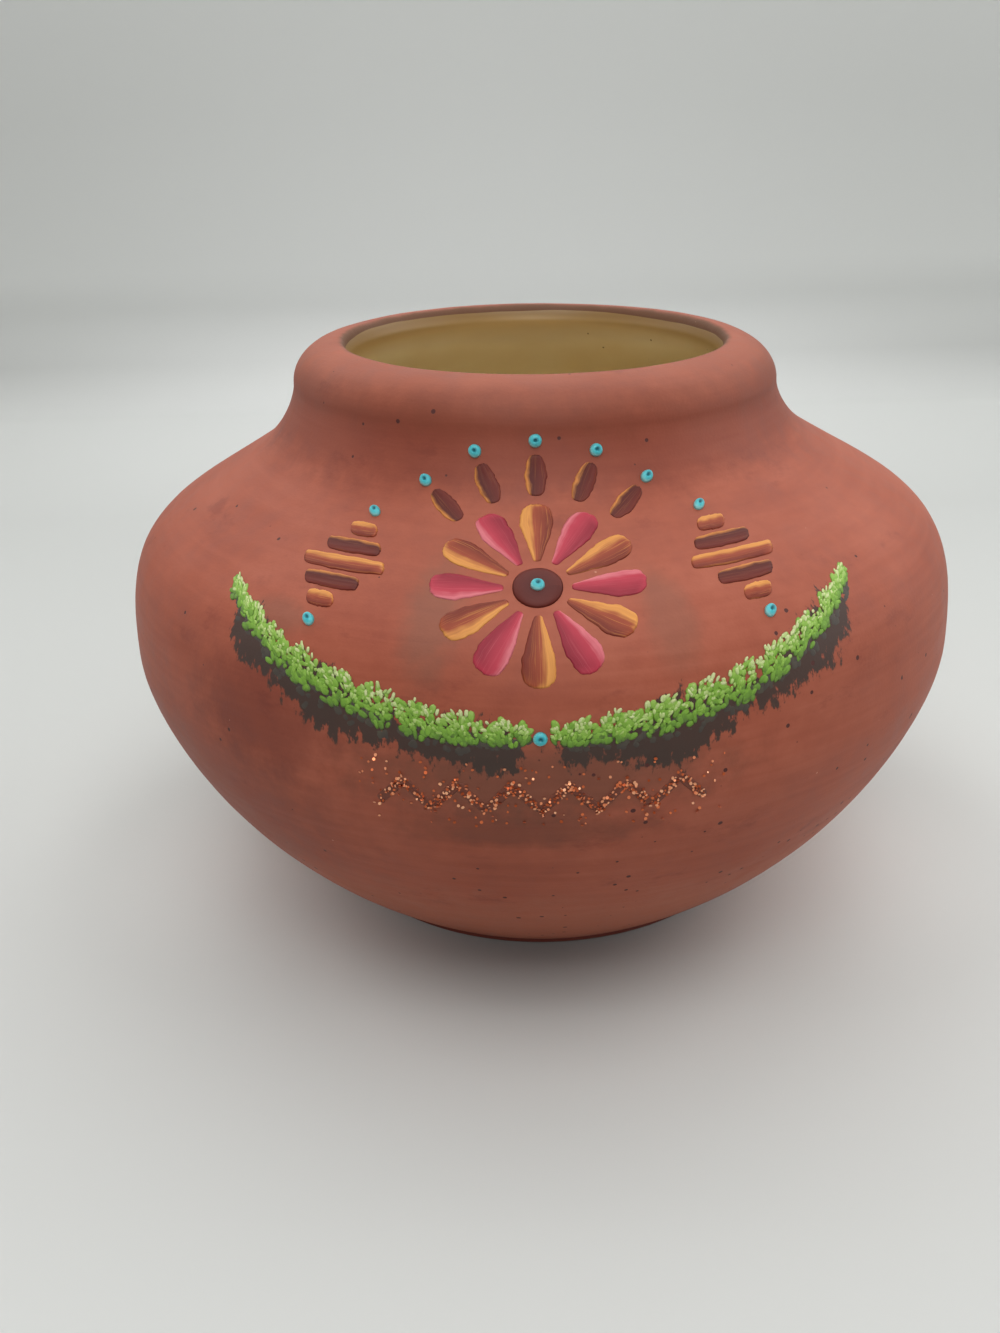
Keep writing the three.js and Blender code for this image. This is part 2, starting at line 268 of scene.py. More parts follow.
ringArc = sectionArcs[len(underside) - 1] + lowerLength  # arc at the widest ring


# The pot's radius on the outside, at a distance up the wall from the widest ring
def wallRadius(rise):
    goal = lowerLength + rise
    i = next(i for i in range(1, len(wallArcs)) if wallArcs[i] >= goal or i == len(wallArcs) - 1)
    share = (goal - wallArcs[i - 1]) / (wallArcs[i] - wallArcs[i - 1])
    return outerWall[i - 1].lerp(outerWall[i], share).x


# Turns an outline round the pot's axis, as a thrown wall. Its wallMap has the share of the turn
# across, with the painted front in the middle, and the share of the outline's length up.
def thrownWall():
    tree, given = newTree("thrownWall", {
        "Facets": ("Int", 192),
        "Outline Length": ("Float", 1.0),
        "Rim Lean": ("Float", 0.0),
        "Lean Starts": ("Float", 0.08),
        "Lean Full": ("Float", 0.09),
        "Hand Depth": ("Float", 0.0001),
        "Hand Size": ("Float", 0.02),
        "Seed": ("Float", 1.0),
        "Material": ("Material", None),
    })
    rows = addNode(tree, "GeometryNodeAttributeDomainSize", {"Geometry": given["Geometry"]})
    seam = addNode(tree, "ShaderNodeMath", {0: given["Facets"], 1: 1}, operation="ADD")
    sheet = addNode(tree, "GeometryNodeMeshGrid", {
        "Size X": 1, "Size Y": 1, "Vertices X": seam, "Vertices Y": rows})
    place = addNode(tree, "GeometryNodeInputPosition")
    split = addNode(tree, "ShaderNodeSeparateXYZ", {0: place})
    lastRow = addNode(tree, "ShaderNodeMath", {0: rows, 1: 1}, operation="SUBTRACT")
    rowShare = addNode(tree, "ShaderNodeMath", {0: split.outputs["Y"], 1: 0.5}, operation="ADD")
    rowPlace = addNode(tree, "ShaderNodeMath", {0: rowShare, 1: lastRow}, operation="MULTIPLY")
    row = addNode(tree, "FunctionNodeFloatToInt", {0: rowPlace}, rounding_mode="ROUND")
    spot = addNode(tree, "GeometryNodeSampleIndex", {
        "Geometry": given["Geometry"], "Value": place, "Index": row}, data_type="FLOAT_VECTOR")
    arcHere = addNode(tree, "GeometryNodeInputNamedAttribute", {"Name": "arc"})
    arc = addNode(tree, "GeometryNodeSampleIndex", {
        "Geometry": given["Geometry"], "Value": arcHere, "Index": row})
    turnShare = addNode(tree, "ShaderNodeMath", {0: split.outputs["X"], 1: 0.5}, operation="ADD")
    arcShare = addNode(tree, "ShaderNodeMath", {0: arc, 1: given["Outline Length"]}, operation="DIVIDE")
    onMap = addNode(tree, "ShaderNodeCombineXYZ", {"X": turnShare, "Y": arcShare})
    mapped = addNode(tree, "GeometryNodeStoreNamedAttribute", {
        "Geometry": sheet, "Name": "wallMap", "Value": onMap}, data_type="FLOAT2", domain="CORNER")
    turn = addNode(tree, "ShaderNodeMath", {
        0: split.outputs["X"], 1: 2 * math.pi, 2: -math.pi / 2}, operation="MULTIPLY_ADD")
    turned = addNode(tree, "ShaderNodeVectorRotate", {
        "Vector": spot, "Angle": turn}, rotation_type="Z_AXIS")
    onPot = addNode(tree, "ShaderNodeSeparateXYZ", {0: turned})
    leanHere = addNode(tree, "ShaderNodeMapRange", {
        "Value": onPot.outputs["Z"], "From Min": given["Lean Starts"], "From Max": given["Lean Full"],
        "To Max": given["Rim Lean"]}, interpolation_type="SMOOTHSTEP")
    drop = addNode(tree, "ShaderNodeMath", {0: onPot.outputs["X"], 1: leanHere}, operation="MULTIPLY")
    dropWay = addNode(tree, "ShaderNodeCombineXYZ", {"Z": drop})
    leaning = addNode(tree, "ShaderNodeVectorMath", {0: turned, 1: dropWay}, operation="SUBTRACT")
    lathed = addNode(tree, "GeometryNodeSetPosition", {"Geometry": mapped, "Position": leaning})
    closed = addNode(tree, "GeometryNodeMergeByDistance", {"Geometry": lathed, "Distance": weldGap})
    handScale = addNode(tree, "ShaderNodeMath", {0: 1, 1: given["Hand Size"]}, operation="DIVIDE")
    hand = addNode(tree, "ShaderNodeTexNoise", {
        "Vector": place, "W": given["Seed"], "Scale": handScale, "Detail": 2}, noise_dimensions="4D")
    pressed = addNode(tree, "ShaderNodeMapRange", {
        "Value": hand, "From Min": 0.3, "From Max": 0.7, "To Max": given["Hand Depth"]})
    offFloor = addNode(tree, "ShaderNodeMapRange", {"Value": split.outputs["Z"], "From Max": 0.004})
    depth = addNode(tree, "ShaderNodeMath", {0: pressed, 1: offFloor}, operation="MULTIPLY")
    inwards = addNode(tree, "ShaderNodeMath", {0: depth, 1: -1}, operation="MULTIPLY")
    normal = addNode(tree, "GeometryNodeInputNormal")
    dent = addNode(tree, "ShaderNodeVectorMath", {0: normal, "Scale": inwards}, operation="SCALE")
    shaped = addNode(tree, "GeometryNodeSetPosition", {"Geometry": closed, "Offset": dent})
    endTree(tree, shaped, given["Material"])
    return tree


thrownWallTree = thrownWall()


# Throws one outline. The hand's marks are so deep and so wide, in metres.
def throwOutline(name, outline, material, handDepth, handSize, seed):
    profile = [(point.x, 0, point.y) for point in outline]
    host = hostPoints(name, profile, joined=True, arc=[arc * mm for arc in arcs(outline)])
    return grow(name, host, thrownWallTree, {
        "Facets": pot["facets"],
        "Outline Length": arcs(outline)[-1] * mm,
        "Rim Lean": pot["rimLean"],
        "Lean Starts": neckBase.y * mm,
        "Lean Full": neckTop.y * mm,
        "Hand Depth": handDepth,
        "Hand Size": handSize,
        "Seed": seed,
        "Material": material,
    })


# A material with its own nodes; the shader's plain values are set on its sockets
def newMaterial(name, **values):
    material = bpy.data.materials.new(name)
    material.use_nodes = True
    tree = material.node_tree
    shader = tree.nodes["Principled BSDF"]
    for label, value in values.items():
        shader.inputs[label.replace("_", " ")].default_value = value
    return material, tree, shader


# The painted design, in mm and degrees. Rises are from the widest ring up the wall.
rosette = {
    "rise": 31,
    "petals": 12,
    "petalStart": 4.8,
    "petalReach": 11,
    "petalGap": 0.6,
    "petalFullness": 0.92,
    "film": 0.16,  # how thick the strokes are
    "plumeStrokes": 5,
    "plumeSpread": 21,
    "plumeGap": 1.3,
    "plumeReach": 6.6,
    "plumeHalf": 1.75,
    "bossRadius": 3.8,
    "bossFilm": 0.7,
}
petalTip = rosette["petalStart"] + rosette["petalReach"]
garland = {
    "half": 3.9,
    "gap": 3.2,
    "rise": 17,
    "sweep": 44,
    "tie": 1.7,
    "clusters": 9,
    "shade": 4.6,  # how far the dark mass under the leaves reaches from its middle
    "shadeDrop": 2.145,  # and how far its middle hangs under theirs
    "shadeDab": (1.3, 2.8),  # width and height of the dabs at its ragged edge
    "shadeMass": 13,  # length of its thicker stretches
    "layers": (  # dabs in a cluster, band across it, reach, half width, film, base, tone low and high
        (18, (-4.4, -0.8), (1.0, 2.0), (0.5, 0.9), 0.04, 0.0, (0.02, 0.2)),
        (50, (-2.9, 2.5), (0.9, 1.9), (0.36, 0.62), 0.1, 0.03, (0.3, 0.64)),
        (44, (-1.0, 3.4), (0.5, 1.2), (0.2, 0.36), 0.1, 0.09, (0.56, 1.0)),
    ),
    "seed": 12,
    "tones": (
        (0.0, "#3a322b"),
        (0.2, "#4a4436"),
        (0.3, "#638c2c"),
        (0.5, "#7fae38"),
        (0.64, "#93bd4d"),
        (0.8, "#b3cf76"),
        (1.0, "#d6e0a2"),
    ),
}
garlandLow = rosette["rise"] - petalTip - garland["gap"] - garland["half"]
garlandEnd = math.radians(garland["sweep"])


def garlandRise(turn):
    return garlandLow + garland["rise"] * (turn / garlandEnd) ** 2


# Terracotta, thrown, wiped with a wet sponge and fired unglazed: a dull red-brown that is never one
# flat tone, with faint level wiping marks, dark specks, pale grains, pits and dull smudges. Sizes in mm.
terracotta = {
    "tones": ((0.33, "#964832"), (0.5, "#a7563e"), (0.67, "#b5644c")),
    "speck": "#4d221d",
    "grain": "#d9a287",
    "smudge": "#80392b",
    "leafShade": "#372d27",
    "rimPaintedShade": "#6e4932",
    "footPaintedShade": "#6f352a",
    "cloudSize": 26,
    "mottleSize": 4.5,
    "wipe": (22, 1.3),  # length and height of a wiping mark
    "gritSize": 0.45,
    "speckGap": 1.9,
    "grainGap": 3.7,
    "smudgeSize": 9,
    "footBand": 1.5,
    "rimBand": (-0.5, 0.9),  # where the painted shade starts and is full, in from the crest
}
# Soft changes of tone on the clay, washes of paint and painted light and shade: place round and up from the
# front of the widest ring, half width and half height in mm, strength and colour
shoulderLength = arcs(curve(*shoulder))[-1]
neckLength = arcs(curve(*neck))[-1]
neckRise = shoulderLength + neckLength * 0.85
lipRise = shoulderLength + neckLength + arcs(lipOutside)[-1] * 0.6
allRound = 9000  # a half width so large that the turn makes no difference
washesAndPaintedShading = [
    ((0, neckRise), (allRound, 9.5), 0.44, "#6d2f22"),  # painted shade in the hollow of the neck
    ((0, lipRise), (allRound, 9), 0.24, "#7f4d36"),  # painted shade: the lip is a little duller and darker
    ((0, -46), (allRound, 22), 0.42, "#c4785c"),  # painted light: paler towards the foot, on the lower wall that faces down
    ((0, 1.5), (33, 7.5), 0.62, "#6a4636"),  # thinned paint wiped on under and beside the design
    ((-3, -7.5), (22, 4.5), 0.45, "#5c3a2c"),
    ((-17, 26), (6, 14), 0.34, "#6d5a49"),
    ((21, 24), (5, 10), 0.26, "#6d5a49"),
    ((-44, 22), (8, 3.5), 0.3, "#5f5144"),
    ((-62, -16), (34, 22), 0.4, "#6f3022"),  # painted shade on the lower left flank, this patch and the next
    ((-45, 6), (17, 11), 0.5, "#6a2c20"),
]
crestArc = sectionArcs[len(underside) - 2 + len(outerWall)]
footArc = sectionArcs[len(underside) - 1]


# Lays coats over a colour one after another, each with its share of cover and its sRGB hex colour
def layCoats(tree, colour, coats):
    for share, code in coats:
        colour = addNode(tree, "ShaderNodeMix", {
            "Factor": share, "A": colour, "B": linear(code)}, data_type="RGBA")
    return colour


# Spots of random size in random cells, as a share from 0 to 1: their gap in mm, the share of cells
# without one, the largest radius in mm, and how far the pattern is moved
def spots(tree, place, gap, rarity, largest, offset):
    cells = addNode(tree, "ShaderNodeVectorMath", {0: place, "Scale": 1000 / gap}, operation="SCALE")
    moved = addNode(tree, "ShaderNodeVectorMath", {0: cells, 1: (offset, offset, offset)}, operation="ADD")
    grid = addNode(tree, "ShaderNodeTexVoronoi", {"Vector": moved, "Scale": 1})
    lot = addNode(tree, "ShaderNodeSeparateXYZ", {0: grid.outputs["Color"]}).outputs["X"]
    reach = addNode(tree, "ShaderNodeMapRange", {
        "Value": lot, "From Min": rarity, "From Max": 1, "To Min": 0, "To Max": largest / gap})
    inside = addNode(tree, "ShaderNodeMath", {0: reach, 1: grid.outputs["Distance"]}, operation="SUBTRACT")
    return addNode(tree, "ShaderNodeMapRange", {"Value": inside, "From Max": 0.07 / gap})


def terracottaMaterial():
    material, tree, shader = newMaterial("terracottaSmoothed", IOR=1.54, Specular_IOR_Level=0.3)
    place = addNode(tree, "ShaderNodeTexCoord").outputs["Object"]
    wallMap = addNode(tree, "ShaderNodeUVMap", uv_map="wallMap")
    shares = addNode(tree, "ShaderNodeSeparateXYZ", {0: wallMap}).outputs
    clouds = addNode(tree, "ShaderNodeTexNoise", {
        "Vector": place, "Scale": 1000 / terracotta["cloudSize"], "Detail": 3})
    mottles = addNode(tree, "ShaderNodeTexNoise", {
        "Vector": place, "Scale": 1000 / terracotta["mottleSize"], "Detail": 4, "Roughness": 0.62})
    grit = addNode(tree, "ShaderNodeTexNoise", {
        "Vector": place, "Scale": 1000 / terracotta["gritSize"], "Detail": 2})
    length, height = terracotta["wipe"]
    wipePlace = addNode(tree, "ShaderNodeVectorMath", {
        0: place, 1: (1000 / length, 1000 / length, 1000 / height)}, operation="MULTIPLY")
    wipes = addNode(tree, "ShaderNodeTexNoise", {
        "Vector": wipePlace, "Scale": 1, "Detail": 3, "Distortion": 0.3})
    mixed = addNode(tree, "ShaderNodeMix", {"Factor": 0.42, "A": clouds, "B": mottles}, data_type="FLOAT")
    wiped = addNode(tree, "ShaderNodeMix", {"Factor": 0.24, "A": mixed, "B": wipes}, data_type="FLOAT")
    ground = addNode(tree, "ShaderNodeValToRGB", {0: wiped}, tones=terracotta["tones"])
    coats = []

    # Dull smudges, longer than they are high
    smudgePlace = addNode(tree, "ShaderNodeVectorMath", {
        0: place, 1: (0.6, 0.6, 1.3)}, operation="MULTIPLY")
    smudges = addNode(tree, "ShaderNodeTexNoise", {
        "Vector": smudgePlace, "Scale": 1000 / terracotta["smudgeSize"], "Detail": 5, "Roughness": 0.7})
    inSmudge = addNode(tree, "ShaderNodeMapRange", {
        "Value": smudges, "From Min": 0.57, "From Max": 0.72, "To Max": 0.5},
        interpolation_type="SMOOTHSTEP")
    coats.append((inSmudge, terracotta["smudge"]))

    # Washes of paint, and painted light and shade, with their edges broken by the mottling
    girth = 2 * math.pi * belly.x
    edge = addNode(tree, "ShaderNodeMath", {0: mottles, 1: 0.9, 2: -0.45}, operation="MULTIPLY_ADD")
    for (x, rise), (halfWidth, halfHeight), strength, code in washesAndPaintedShading:
        across = addNode(tree, "ShaderNodeMapRange", {
            "Value": shares["X"], "From Min": 0.5 + x / girth,
            "From Max": 0.5 + (x + halfWidth) / girth}, clamp=False)
        up = addNode(tree, "ShaderNodeMapRange", {
            "Value": shares["Y"], "From Min": (ringArc + rise) / sectionLength,
            "From Max": (ringArc + rise + halfHeight) / sectionLength}, clamp=False)
        off = addNode(tree, "ShaderNodeCombineXYZ", {"X": across, "Y": up})
        far = addNode(tree, "ShaderNodeVectorMath", {0: off}, operation="LENGTH")
        broken = addNode(tree, "ShaderNodeMath", {0: far.outputs["Value"], 1: edge}, operation="ADD")
        inWashAndShading = addNode(tree, "ShaderNodeMapRange", {
            "Value": broken, "From Min": 1.15, "From Max": 0.35, "To Max": strength},
            interpolation_type="SMOOTHSTEP")
        coats.append((inWashAndShading, code))

    # Charcoal paint stippled along under the garland, ragged at its lower edge
    turn = addNode(tree, "ShaderNodeMath", {
        0: shares["X"], 1: 2 * math.pi, 2: -math.pi}, operation="MULTIPLY_ADD")
    outTurn = addNode(tree, "ShaderNodeMath", {0: turn}, operation="ABSOLUTE")
    squared = addNode(tree, "ShaderNodeMath", {0: turn, 1: turn}, operation="MULTIPLY")
    sag = garland["rise"] / garlandEnd ** 2
    curveArc = addNode(tree, "ShaderNodeMath", {
        0: squared, 1: sag, 2: ringArc + garlandLow}, operation="MULTIPLY_ADD")
    wallArc = addNode(tree, "ShaderNodeMath", {0: shares["Y"], 1: sectionLength}, operation="MULTIPLY")
    overCurve = addNode(tree, "ShaderNodeMath", {0: wallArc, 1: curveArc}, operation="SUBTRACT")
    fromShade = addNode(tree, "ShaderNodeMath", {0: overCurve, 1: garland["shadeDrop"]}, operation="ADD")
    offShade = addNode(tree, "ShaderNodeMath", {0: fromShade}, operation="ABSOLUTE")
    shadeDepth = addNode(tree, "ShaderNodeMath", {
        0: offShade, 1: 1 / garland["shade"]}, operation="MULTIPLY")
    dabWidth, dabHeight = garland["shadeDab"]
    dabAcross = addNode(tree, "ShaderNodeMath", {0: turn, 1: belly.x / dabWidth}, operation="MULTIPLY")
    dabUp = addNode(tree, "ShaderNodeMath", {0: wallArc, 1: 1 / dabHeight}, operation="MULTIPLY")
    dabPlace = addNode(tree, "ShaderNodeCombineXYZ", {"X": dabAcross, "Y": dabUp})
    dabbed = addNode(tree, "ShaderNodeTexNoise", {
        "Vector": dabPlace, "Scale": 1, "Detail": 3, "Roughness": 0.65})
    ragged = addNode(tree, "ShaderNodeMath", {0: dabbed, 1: 2.6, 2: -1.3}, operation="MULTIPLY_ADD")
    raggedDepth = addNode(tree, "ShaderNodeMath", {0: shadeDepth, 1: ragged}, operation="ADD")
    massPlace = addNode(tree, "ShaderNodeCombineXYZ", {"X": turn})
    masses = addNode(tree, "ShaderNodeTexNoise", {
        "Vector": massPlace, "Scale": belly.x / garland["shadeMass"], "Detail": 0})
    massed = addNode(tree, "ShaderNodeMath", {0: masses, 1: 1.7, 2: -0.95}, operation="MULTIPLY_ADD")
    raggedDepth = addNode(tree, "ShaderNodeMath", {0: raggedDepth, 1: massed}, operation="SUBTRACT")
    endShade = addNode(tree, "ShaderNodeMapRange", {
        "Value": outTurn, "From Min": garlandEnd * 0.9, "From Max": garlandEnd * 1.04, "To Max": 4})
    tieShade = addNode(tree, "ShaderNodeMapRange", {
        "Value": outTurn, "From Min": 0.055, "From Max": 0.02, "To Max": 1})
    ends = addNode(tree, "ShaderNodeMath", {0: endShade, 1: tieShade}, operation="ADD")
    shadeEdge = addNode(tree, "ShaderNodeMath", {0: raggedDepth, 1: ends}, operation="ADD")
    inShade = addNode(tree, "ShaderNodeMapRange", {
        "Value": shadeEdge, "From Min": 0.95, "From Max": 0.66, "To Max": 0.94},
        interpolation_type="SMOOTHSTEP")
    coats.append((inShade, terracotta["leafShade"]))

    # Painted shade darkens the lip just inside its crest, and the foot along its lowest edge
    jitter = addNode(tree, "ShaderNodeMath", {
        0: mottles, 1: 1.6 / sectionLength, 2: -0.8 / sectionLength}, operation="MULTIPLY_ADD")
    arcShare = addNode(tree, "ShaderNodeMath", {0: shares["Y"], 1: jitter}, operation="ADD")
    crestShare = crestArc / sectionLength
    rimStarts, rimFull = terracotta["rimBand"]
    inRim = addNode(tree, "ShaderNodeMapRange", {
        "Value": arcShare, "From Min": crestShare + rimStarts / sectionLength,
        "From Max": crestShare + rimFull / sectionLength}, interpolation_type="SMOOTHSTEP")
    coats.append((inRim, terracotta["rimPaintedShade"]))
    footShare = footArc / sectionLength
    inFoot = addNode(tree, "ShaderNodeMapRange", {
        "Value": arcShare, "From Min": footShare + terracotta["footBand"] / sectionLength,
        "From Max": footShare}, interpolation_type="SMOOTHSTEP")
    coats.append((inFoot, terracotta["footPaintedShade"]))

    # Specks gather low and to the right of the front, grains lie anywhere
    lowRight = addNode(tree, "ShaderNodeVectorMath", {0: place, 1: (6, -5, -9)}, operation="DOT_PRODUCT")
    nearby = addNode(tree, "ShaderNodeMath", {0: lowRight.outputs["Value"], 1: clouds}, operation="ADD")
    gathered = addNode(tree, "ShaderNodeMapRange", {
        "Value": nearby, "From Min": 0.34, "From Max": 0.8, "To Min": 0.92, "To Max": 0.5})
    specks = spots(tree, place, terracotta["speckGap"], gathered, 0.44, 3.1)
    coats.append((specks, terracotta["speck"]))
    grains = spots(tree, place, terracotta["grainGap"], 0.8, 0.3, 7.7)
    faintGrains = addNode(tree, "ShaderNodeMath", {0: grains, 1: 0.55}, operation="MULTIPLY")
    coats.append((faintGrains, terracotta["grain"]))

    roughness = addNode(tree, "ShaderNodeMapRange", {
        "Value": mottles, "From Min": 0.3, "From Max": 0.7, "To Min": 0.5, "To Max": 0.62})
    pits = addNode(tree, "ShaderNodeMath", {0: specks, 1: -1.5, 2: grit}, operation="MULTIPLY_ADD")
    relief = addNode(tree, "ShaderNodeMath", {0: wipes, 1: 1.2, 2: pits}, operation="MULTIPLY_ADD")
    bump = addNode(tree, "ShaderNodeBump", {"Strength": 0.35, "Distance": 0.00008, "Height": relief})
    setInputs(tree, shader, {
        "Base Color": layCoats(tree, ground, coats), "Roughness": roughness, "Normal": bump})
    return material


clayShell = throwOutline(
    "clay_shell", section, terracottaMaterial(), handDepth=0.00012, handSize=0.018, seed=3.0)
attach(clayShell, "root")
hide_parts("clay_body")
print("clay shell", len(clayShell.data.polygons))

# What the trees that lay paint on the wall need to know of it, in metres
wallInputs = {"Wall": ("Object", None), "Outline Length": ("Float", 1.0), "Ring Arc": ("Float", 0.5)}
wallValues = {"Wall": clayShell, "Outline Length": sectionLength * mm, "Ring Arc": ringArc * mm}
frontShare = 0.5001  # share of the turn at the front, just off the edge between two facets


# Lays flat paint on the pot: across becomes the way round from the front, at its true distance,
# up becomes the way along the wall from the widest ring, and height stands off the clay.
def layOnWall():
    tree, given = newTree("layOnWall", wallInputs)
    wall = addNode(tree, "GeometryNodeObjectInfo", {"Object": given["Wall"]}).outputs["Geometry"]
    wallMap = addNode(tree, "GeometryNodeInputNamedAttribute", {
        "Name": "wallMap"}, data_type="FLOAT_VECTOR")
    place = addNode(tree, "GeometryNodeInputPosition")
    flat = addNode(tree, "ShaderNodeSeparateXYZ", {0: place}).outputs
    arc = addNode(tree, "ShaderNodeMath", {0: flat["Y"], 1: given["Ring Arc"]}, operation="ADD")
    arcShare = addNode(tree, "ShaderNodeMath", {0: arc, 1: given["Outline Length"]}, operation="DIVIDE")
    inFront = addNode(tree, "ShaderNodeCombineXYZ", {"X": frontShare, "Y": arcShare})
    frontSpot = addNode(tree, "GeometryNodeSampleUVSurface", {
        "Mesh": wall, "Value": place, "UV Map": wallMap, "Sample UV": inFront}, data_type="FLOAT_VECTOR")
    level = addNode(tree, "ShaderNodeVectorMath", {0: frontSpot, 1: (1, 1, 0)}, operation="MULTIPLY")
    radius = addNode(tree, "ShaderNodeVectorMath", {0: level}, operation="LENGTH")
    girth = addNode(tree, "ShaderNodeMath", {0: radius, 1: 2 * math.pi}, operation="MULTIPLY")
    turn = addNode(tree, "ShaderNodeMath", {0: flat["X"], 1: girth}, operation="DIVIDE")
    turnShare = addNode(tree, "ShaderNodeMath", {0: turn, 1: 0.5}, operation="ADD")
    here = addNode(tree, "ShaderNodeCombineXYZ", {"X": turnShare, "Y": arcShare})
    spot = addNode(tree, "GeometryNodeSampleUVSurface", {
        "Mesh": wall, "Value": place, "UV Map": wallMap, "Sample UV": here}, data_type="FLOAT_VECTOR")
    normal = addNode(tree, "GeometryNodeInputNormal")
    outward = addNode(tree, "GeometryNodeSampleUVSurface", {
        "Mesh": wall, "Value": normal, "UV Map": wallMap, "Sample UV": here}, data_type="FLOAT_VECTOR")
    lift = addNode(tree, "ShaderNodeVectorMath", {0: outward, "Scale": flat["Z"]}, operation="SCALE")
    laid = addNode(tree, "ShaderNodeVectorMath", {0: spot, 1: lift}, operation="ADD")
    onWall = addNode(tree, "GeometryNodeSetPosition", {"Geometry": given["Geometry"], "Position": laid})
    addNode(tree, "NodeGroupOutput", {"Geometry": onWall})
    return tree


layOnWallTree = layOnWall()


# Lays what a tree has made on the pot and ends the tree
def endOnWall(tree, given, geometry, smooth=True):
    laid = addNode(tree, "GeometryNodeGroup", {
        "Geometry": geometry} | {name: given[name] for name in wallInputs}, node_tree=layOnWallTree)
    endTree(tree, laid, given["Material"], smooth)


# A film of paint: the flat sheet raised by its height, closed with the same sheet a little under
# the film's base, so that no gap shows beneath it
def closePaint(tree, given, sheet, place, height, base):
    lowest = addNode(tree, "ShaderNodeMath", {0: base, 1: paintSunk}, operation="SUBTRACT")
    highest = addNode(tree, "ShaderNodeMath", {0: height, 1: lowest}, operation="ADD")
    levels = []
    for level in (highest, lowest):
        upwards = addNode(tree, "ShaderNodeCombineXYZ", {"Z": level})
        moved = addNode(tree, "ShaderNodeVectorMath", {0: place, 1: upwards}, operation="ADD")
        levels.append(addNode(tree, "GeometryNodeSetPosition", {"Geometry": sheet, "Position": moved}))
    top = addNode(tree, "GeometryNodeFlipFaces", {"Mesh": levels[0]})
    both = addNode(tree, "GeometryNodeJoinGeometry", {"Geometry": top})
    tree.links.new(levels[1].outputs["Geometry"], both.inputs["Geometry"])
    closed = addNode(tree, "GeometryNodeMergeByDistance", {"Geometry": both, "Distance": weldGap})
    endOnWall(tree, given, closed)


# A unit sheet on each point of the host. All of it sits on its point; the shares along and across
# are kept as the plan, for the nodes that shape it, and as the strokeMap, for the material.
def sheetsOnPoints(tree, given, along, across):
    lines = [
        addNode(tree, "ShaderNodeMath", {0: given[name], 1: 1}, operation="ADD")
        for name in (along, across)]
    sheet = addNode(tree, "GeometryNodeMeshGrid", {
        "Size X": 1, "Size Y": 1, "Vertices X": lines[0], "Vertices Y": lines[1]})
    place = addNode(tree, "GeometryNodeInputPosition")
    plan = addNode(tree, "ShaderNodeVectorMath", {0: place, 1: (0.5, 0.5, 0)}, operation="ADD")
    mapped = addNode(tree, "GeometryNodeStoreNamedAttribute", {
        "Geometry": sheet, "Name": "strokeMap", "Value": plan}, data_type="FLOAT2", domain="CORNER")
    planned = addNode(tree, "GeometryNodeStoreNamedAttribute", {
        "Geometry": mapped, "Name": "plan", "Value": plan}, data_type="FLOAT_VECTOR", domain="POINT")
    copies = addNode(tree, "GeometryNodeInstanceOnPoints", {
        "Points": given["Geometry"], "Instance": planned, "Scale": (0, 0, 0)})
    real = addNode(tree, "GeometryNodeRealizeInstances", {"Geometry": copies})
    kept = addNode(tree, "GeometryNodeInputNamedAttribute", {"Name": "plan"}, data_type="FLOAT_VECTOR")
    return real, addNode(tree, "ShaderNodeSeparateXYZ", {0: kept}).outputs, place


# The numbers that each point of the host carries
def numbersOf(tree, names):
    return {name: addNode(tree, "GeometryNodeInputNamedAttribute", {"Name": name}) for name in names}


